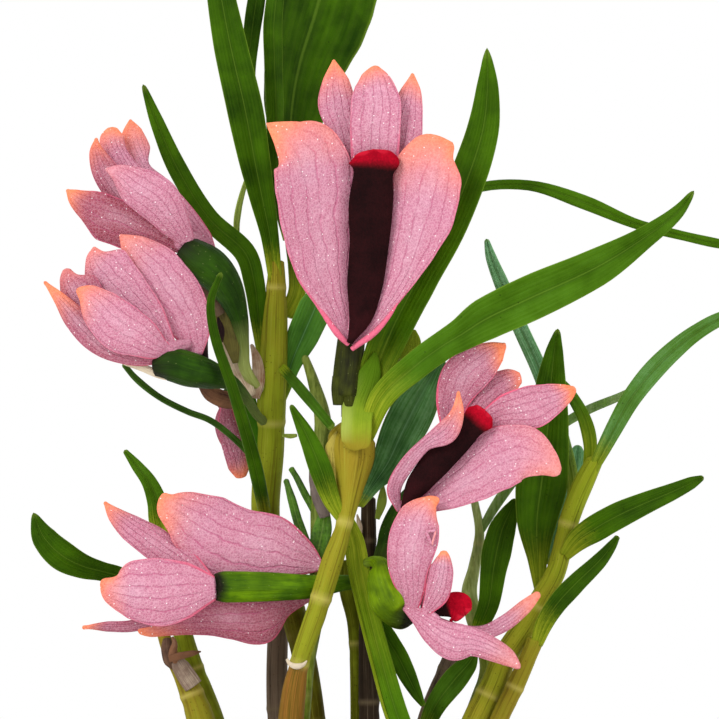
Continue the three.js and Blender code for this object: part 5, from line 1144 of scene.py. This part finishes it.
tepal_pink = tepal_finish("waxy_pink", "c07a92", "8e3a49")
for name, flower in FLOWERS.items():
    skins = Skins()
    dusk, veined = PINKS[name]
    for tepal in TEPALS:
        face, fold, rows = flower[tepal]
        shade = dusk + TEPAL_PAINTED_SHADE.get((name, tepal), 0)
        blade(skins, rows, TEPAL_THICK, fold, face=face, steps=52, across=9, groove=.06, ruffle=.02, rise=1.4,
              tint=(shade, veined, PALER_TIPS.get((name, tepal), 0)))
    slim = .6 if name in ("mid_left", "lower_right") else 1
    stem(skins, flower["foot"], sides=20, steps=30, ridges=(5, .05), shape=lambda z, t: slim,
         tint=lambda z, t: (dusk, 0, 1))
    if name == "centre":
        # the outer margins of its two sepals are rolled over near the foot, and coral pink
        for rows in ([(-.0013, -.0116, .1149, .0003), (-.0023, -.012, .1158, .00038), (-.0033, -.0123, .117, .00038),
                      (-.0044, -.0126, .1186, .0003), (-.0055, -.0129, .1202, .0002), (-.0063, -.0131, .1216, .0001)],
                     [(-.001, -.0116, .1143, .0003), (-.0001, -.0119, .115, .00038), (.001, -.0122, .1157, .0004),
                      (.0023, -.0124, .1168, .00036), (.0037, -.0127, .1185, .00026), (.0047, -.013, .12, .0001)]):
            rolled = len(skins.place)
            stem(skins, rows, sides=12, steps=40)
            skins.place[rolled:] = [(1, .08, run) for _, _, run in skins.place[rolled:]]
    if name == "lower_right":
        # a scar where the bud's tips parted: a low three-cornered rim, orange like the tip beside it
        corners = [Vector((.0082, -.01495, .0919)), Vector((.0094, -.01495, .092)), Vector((.0089, -.0149, .0902))]
        for first, second in zip(corners, corners[1:] + corners[:1]):
            stem(skins, [(*point, SCAR_RADIUS) for point in (first, first.lerp(second, .5), second)], sides=8,
                 steps=6, tint=lambda z, t: (0, 0, .5))
    skins.make(name + "_tepals", tepal_pink, "tepal_pink", "flower_" + name + "_tepals")


# The lip is the flower's sixth part, a stiff velvet tongue that stands over the foot, near black with a
# scarlet, three-lobed end. The bud still hides its own.
LIP_THICK = .0008
velvet, wire, place = finish("velvet_lip")
length, cap_foot = wire.mark("place").split().beside("Y"), wire.mark("tint").split()
fine, patches = cloud(place, 3.4, 3, .7), cloud(place, .4, 3)
dark = (patches * .5 + fine * .5).ramp(.3, .75).blend("150708", "2a0e10")
dark = ((1 - length.ramp(.05, .25)) * patches.ramp(.3, .6) * .4).blend(dark, "3a1216")
scarlet = (patches * .5 + fine * .5).ramp(.35, .7).blend("8a0218", "b40822")
# painted highlight: the very end of the scarlet cap is painted brighter where light catches its rim
scarlet = (length + (patches - .5) * .1).ramp(.93, 1).blend(scarlet, "c01a30")
cap = (length + (fine - .5) * .02 + (patches - .5) * .04).ramp(cap_foot, cap_foot + .14)
velvet = close(velvet, fine, .00015, Base_Color=cap.blend(dark, scarlet), Roughness=.65 + fine * .25,
               Specular_IOR_Level=.04)
# How far along each lobed lip its scarlet end begins, of 1
CAP_FROM = {"centre": .75, "right": .7, "lower_right": .38}
for name, flower in FLOWERS.items():
    if "lip" not in flower:
        continue
    skins = Skins()
    face, fold, rows = flower["lip"]
    blade(skins, rows, LIP_THICK, fold, face=face, steps=60, across=9, ruffle=.02, rise=1.6,
          lobes=.3 if name in CAP_FROM else 0, tint=(CAP_FROM.get(name, .85), 0, 0))
    skins.make(name + "_lip", velvet, "lip_maroon", "flower_" + name + "_lip")


# Behind each flower sits its ovary, a fleshy ribbed green stalk that runs on, thinner, back to its cane.
# The centre flower's is dark and striped, the lower right one plump and yellow-green.
def ovary_finish(name, deep, bright, groove):
    """A ribbed green stalk; its marks are how far it has faded to pale green, and how near its flower it is."""
    material, wire, place = finish(name)
    fade, fibres = wire.mark("tint").split(), wire.mark("place").stretched(1, 1, .5)
    broad, thin, patches = cloud(fibres, 1.6, 2, .5), cloud(fibres, 7, 3, .6), cloud(place, .35, 3)
    body = (patches * .7 + thin * .3).ramp(.32, .68).blend(deep, bright)
    body = (broad.ramp(.5, .66) * .45).blend(body, groove)
    body = (fade.beside("Y") * (.55 + broad)).blend(body, "16180a")
    body = fade.blend(body, thin.ramp(.3, .7).blend("8f9a4c", "a9b468"))
    body = (specks(place, 1.6, .04, .12) * .22).blend(body, "c9cf8a")
    return close(material, thin + broad, .0002, Base_Color=body, Roughness=.45 + thin * .2,
                 Specular_IOR_Level=.08)


OVARIES = {
    "centre": ovary_finish("dark_ovary", "1e200c", "40460f", "120f06"),
    "lower_right": ovary_finish("plump_ovary", "3e5602", "6c8a04", "2c3d04"),
    "lower_left": ovary_finish("bright_ovary", "345604", "668c06", "1a3603"),
}
plain_ovary = ovary_finish("green_ovary", "163002", "2c4e06", "122602")
# From where and to where along it, of 1, a stalk fades to pale green
FADES = {"upper_left": (.5, .78), "mid_left": (.6, 1.4), "right": (.6, 1.6)}
for name, flower in FLOWERS.items():
    skins = Skins()
    low, high = FADES.get(name, (.8, 1.5))
    lobed = name == "centre"
    stem(skins, flower["stalk"], sides=24, steps=70, ridges=(6, .04),
         shape=lambda z, t: 1 - .7 * min(1, max(0, (.1086 - z) / .0008)) if lobed else 1,
         tint=lambda z, t: (min(1, max(0, (t - low) / (high - low))), max(0, 1 - t / .22), 0))
    if lobed:
        # two blunt lobes clasp the thin stalk that goes on down
        for x, end in ((-.0026, .1074), (-.0013, .1072)):
            stem(skins, [(x + .0001, -.0096, .111, .0009), (x, -.0098, .109, .0009), (x, -.0099, end, .0007)],
                 sides=16, steps=20, ridges=(5, .03))
    skins.make(name + "_ovary", OVARIES.get(name, plain_ovary), "ovary_green", "flower_" + name + "_ovary")


# Dry sheaths: the papery bracts of old leaves and spent flower stalks, split and curled round the nodes,
# tan to grey-brown and nearly purple where they are oldest. They hold on by their feet.
papery, wire, place = finish("papery_sheath")
marks, patches = wire.mark("tint").split(), cloud(place, .6, 3, .6)
fibres = cloud(wire.mark("place").stretched(6, .4, .4), 2.2, 4, .7)
hue = marks.beside("Y").blend("8f5f3c", "6f6a2a")
hue = marks.beside("Z").blend(hue, "7d6f68")
aged = marks + (patches - .5) * .5 + (fibres - .5) * .7
dry_skin = aged.ramp(0, .5).blend("2a1c1e", hue)
dry_skin = aged.ramp(.5, 1).blend(dry_skin, "ead9bd")
papery = close(papery, fibres + patches * .5, .0002, Base_Color=dry_skin, Roughness=.7 + fibres * .2,
               Specular_IOR_Level=.06)
# Each one's (how pale, how olive, how grey) and its rows
SHEATHS = [
    ((.78, .1, .1), [
        (-.0136, -.0034, .1084, .0008), (-.0152, -.0036, .1118, .0015), (-.0165, -.0038, .1148, .0012),
        (-.0176, -.004, .1168, .0002),
    ]),
    ((.3, 0, .2), [
        (-.0138, -.003, .1082, .0006), (-.0164, -.0046, .108, .0012), (-.0184, -.0054, .1088, .0011),
        (-.0202, -.0058, .1104, .0002),
    ]),
    ((.7, 0, .1), [
        (-.013, -.0026, .1082, .0006), (-.0126, -.0028, .1106, .0009), (-.0128, -.0026, .113, .0007),
        (-.0135, -.0022, .115, .0002),
    ]),
    ((.05, 0, .4), [
        (-.0189, -.0094, .1127, .0003), (-.0193, -.0095, .1143, .0006), (-.0189, -.0093, .116, .0002),
    ]),
    ((.02, 0, .4), [
        (-.0174, -.0058, .1152, .0004), (-.0171, -.006, .1168, .0008), (-.0175, -.0058, .1184, .0002),
    ]),
    ((.32, 1, .1), [
        (-.0154, -.0058, .1126, .0004), (-.0159, -.006, .1154, .0012), (-.0165, -.0062, .1184, .0016),
        (-.0173, -.0064, .1212, .001),
    ]),
    ((.4, .5, .5), [
        (-.0172, -.0066, .1186, .0006), (-.0188, -.0068, .1212, .0014), (-.0204, -.007, .1236, .0012),
    ]),
    ((.38, .1, 1), [
        (-.0043, -.0048, .0934, .0007), (-.0049, -.005, .0958, .0011), (-.0056, -.005, .0982, .0008),
        (-.0061, -.0049, .0997, .0002),
    ]),
    ((.25, .1, .4), [
        (-.0229, .0002, .0745, .0006), (-.0236, -.0006, .0755, .001), (-.024, -.0004, .077, .0009),
        (-.0241, 0, .0783, .0005),
    ]),
    ((.5, 0, .2), [
        (-.0226, -.0006, .0748, .0003), (-.0233, -.0012, .0762, .0006), (-.0231, -.0008, .0776, .0004),
        (-.0234, 0, .0784, .0002),
    ]),
    ((.42, 0, .2), [
        (-.0238, -.0014, .0757, .0005), (-.0222, -.0018, .0761, .0005), (-.0208, -.0016, .0764, .0004),
        (-.0198, -.001, .0766, .0001),
    ]),
    ((.6, .2, .7), [
        (-.0207, -.0008, .0722, .0013), (-.0216, -.001, .0735, .0013), (-.0224, -.001, .0748, .0012),
        (-.0229, -.0006, .0757, .0008),
    ]),
    ((1.1, 0, 0), [
        (-.0216, -.0126, .1106, .0005), (-.0245, -.0128, .1112, .0006), (-.027, -.013, .1121, .0005),
        (-.0292, -.013, .1126, .0002),
    ]),
    ((.8, .1, 0), [
        (-.0001, -.0036, .0904, .0003), (0, -.0038, .0922, .0004), (-.0003, -.0036, .0938, .0001),
    ]),
    ((1.05, 0, 0), [
        (-.009, -.0102, .076, .0002), (-.0086, -.0105, .0754, .0003), (-.0078, -.0107, .0751, .0004),
        (-.007, -.0107, .0753, .0003), (-.0065, -.0104, .0758, .0001),
    ]),
]
SHEATH_THICK = .00022
skins = Skins()
for marking, rows in SHEATHS:
    blade(skins, rows, SHEATH_THICK, -24, steps=30, across=5, ruffle=.12, rise=1.5, tint=marking)
skins.make("dry_sheaths", papery, "cane_brown")


# The split sheath is the straw-coloured foot of the lowest leaf, thin and fibrous like the cane's own skin. It
# wraps the swollen top of the front cane, grown fast to it, and its torn corner stands up beside the leaves.
SPLIT_THICK = .0003
skins = Skins()
blade(skins, [(-.0028, -.0098, .0951, .0003), (-.0032, -.0103, .0982, .0006, .0007),
              (-.00345, -.0107, .1004, .0008, .0009), (-.0035, -.0109, .1021, .0008, .001),
              (-.0032, -.011, .1032, .0005, .0006), (-.0028, -.011, .1042, .0001)],
      SPLIT_THICK, -20, steps=30, across=5, ruffle=.05, rise=1.5, tint=(0, .05, 1.35))
skins.make("split_sheath", cane_green, "cane_green")


# Soft green bases and tips too small to be leaves of their own: the clasping foot of the leaves over the front
# cane, short blades that peep out behind it, the bare stub by the left cane, and one pale far-off stalk.
soft, wire, place = finish("soft_base")
marks, where = wire.mark("tint").split(), wire.mark("place")
veins, patches = cloud(where.stretched(5, .5, .5), 2, 3, .6), cloud(place, .5, 3, .6)
fresh = (marks + (patches - .5) * .3 + (veins - .5) * .3).ramp(0, 1).blend("1c5c04", "93a428")
across = where.split()
far, long = across.beside("Y"), marks.beside("Z")
pale = marks.beside("Y") * (.7 + .3 * veins) * (1 - (across + veins * .3).ramp(-.55, .15) * long)
fresh = pale.blend(fresh, "aab65e")
fresh = (far.ramp(.35, .8) * long).blend(fresh, "486808")
fresh = ((1 - (far + (veins - .5) * .12).ramp(.14, .42)) * long).blend(fresh, "87791f")
soft = close(soft, veins + patches * .4, .00015, Base_Color=fresh, Roughness=.5 + veins * .2,
             Specular_IOR_Level=.05)
# Each one's (how bright, how pale, how dark its tip) and its rows
BASES = [
    ((.62, .6, 1), [
        (-.0005, -.0126, .1018, .0004), (-.0005, -.0126, .1021, .0012), (-.0004, -.0125, .1028, .0018),
        (-.0004, -.0121, .1042, .0019), (-.0003, -.0108, .106, .0019), (-.0001, -.0101, .1076, .002),
        (.0007, -.0099, .1096, .0018), (.0014, -.0098, .1116, .0013), (.0018, -.0097, .1132, .0006),
        (.0019, -.0096, .114, .0002),
    ]),
    # this short blade behind the leaves' foot is painted brighter than its own green: painted light where it lies in
    # shade
    ((.85, 0, 0), [
        (.0045, -.003, .1102, .0006), (.006, -.0032, .1132, .0012), (.0068, -.0034, .1152, .0009),
        (.0068, -.0034, .1168, .0002),
    ]),
    ((.6, .8, 0), [
        (.0037, -.004, .1096, .0006), (.0046, -.0042, .1116, .0009), (.005, -.0042, .1132, .0003),
    ]),
    ((.6, .5, 0), [
        (-.0096, -.0014, .1036, .0002), (-.0086, -.0018, .1035, .0003), (-.0078, -.002, .1036, .0002),
    ]),
    ((.2, 0, 0), [
        (-.0143, -.0008, .1102, .0008), (-.014, -.0008, .108, .0011), (-.0136, -.0006, .1046, .0012),
        (-.0128, -.0002, .1006, .0009),
    ]),
    ((.4, .6, 0), [
        (-.0112, .0034, .1186, .0003), (-.0132, .006, .1226, .0004), (-.0152, .0078, .1268, .0004),
        (-.0155, .008, .1296, .0004), (-.0152, .008, .1322, .0004), (-.0144, .008, .1352, .0003),
        (-.0136, .0078, .1374, .0002),
    ]),
    ((.5, .3, 0), [
        (.0022, -.0042, .0932, .0003), (.0028, -.0044, .0954, .0006), (.0029, -.0044, .0974, .0002),
    ]),
]
BASE_THICK = .0004
skins = Skins()
for marking, rows in BASES:
    blade(skins, rows, BASE_THICK, 1, steps=36, across=5, groove=.05, rise=1.3, tint=marking)
skins.make("soft_bases", soft, "leaf_green")


# The setting is a plain white floor under a white sky, lit by two large soft lamps, seen level with the
# flowers from a metre away.
FLOOR_TOP = -.0004
FLOOR_RADIUS = 1.2
LOOKED_AT = .11
floor = turned("floor", [(0, -.01), (FLOOR_RADIUS, -.01), (FLOOR_RADIUS, FLOOR_TOP), (0, FLOOR_TOP)], 128)
ground, wire, place = finish("white_floor")
ground = close(ground, cloud(place, .02, 2), .0001, Base_Color=cloud(place, .01, 2).blend("f4f4f2", "fbfbfa"),
               Roughness=.9, Specular_IOR_Level=.1)
floor.data.materials.append(ground)

sky = bpy.data.worlds.new("white_sky")
sky.use_nodes = True
background = sky.node_tree.nodes["Background"].inputs
background["Color"].default_value, background["Strength"].default_value = (1, 1, 1, 1), 1
bpy.context.scene.world = sky
for name, place, size, power in (("key", (-.7, -.9, .8), .5, 9), ("fill", (.9, -.7, .35), .6, 2.5)):
    lamp = bpy.data.lights.new(name, "AREA")
    lamp.energy, lamp.size = power, size
    light = bpy.data.objects.new(name, lamp)
    light.location = place
    light.rotation_euler = (Vector((0, 0, LOOKED_AT)) - Vector(place)).to_track_quat("-Z", "Y").to_euler()
    bpy.context.scene.collection.objects.link(light)

CAMERA_HEIGHT = .11306
CAMERA_AWAY = 1
lens = bpy.data.cameras.new("camera")
lens.sensor_width, lens.lens, lens.clip_start = 36, 400.56, .01
camera = bpy.data.objects.new("camera", lens)
camera.location = (0, -CAMERA_AWAY, CAMERA_HEIGHT)
camera.rotation_euler = (math.pi / 2, 0, 0)
bpy.context.scene.collection.objects.link(camera)
bpy.context.scene.camera = camera
bpy.context.scene.view_settings.view_transform = "Standard"

bpy.context.view_layer.update()
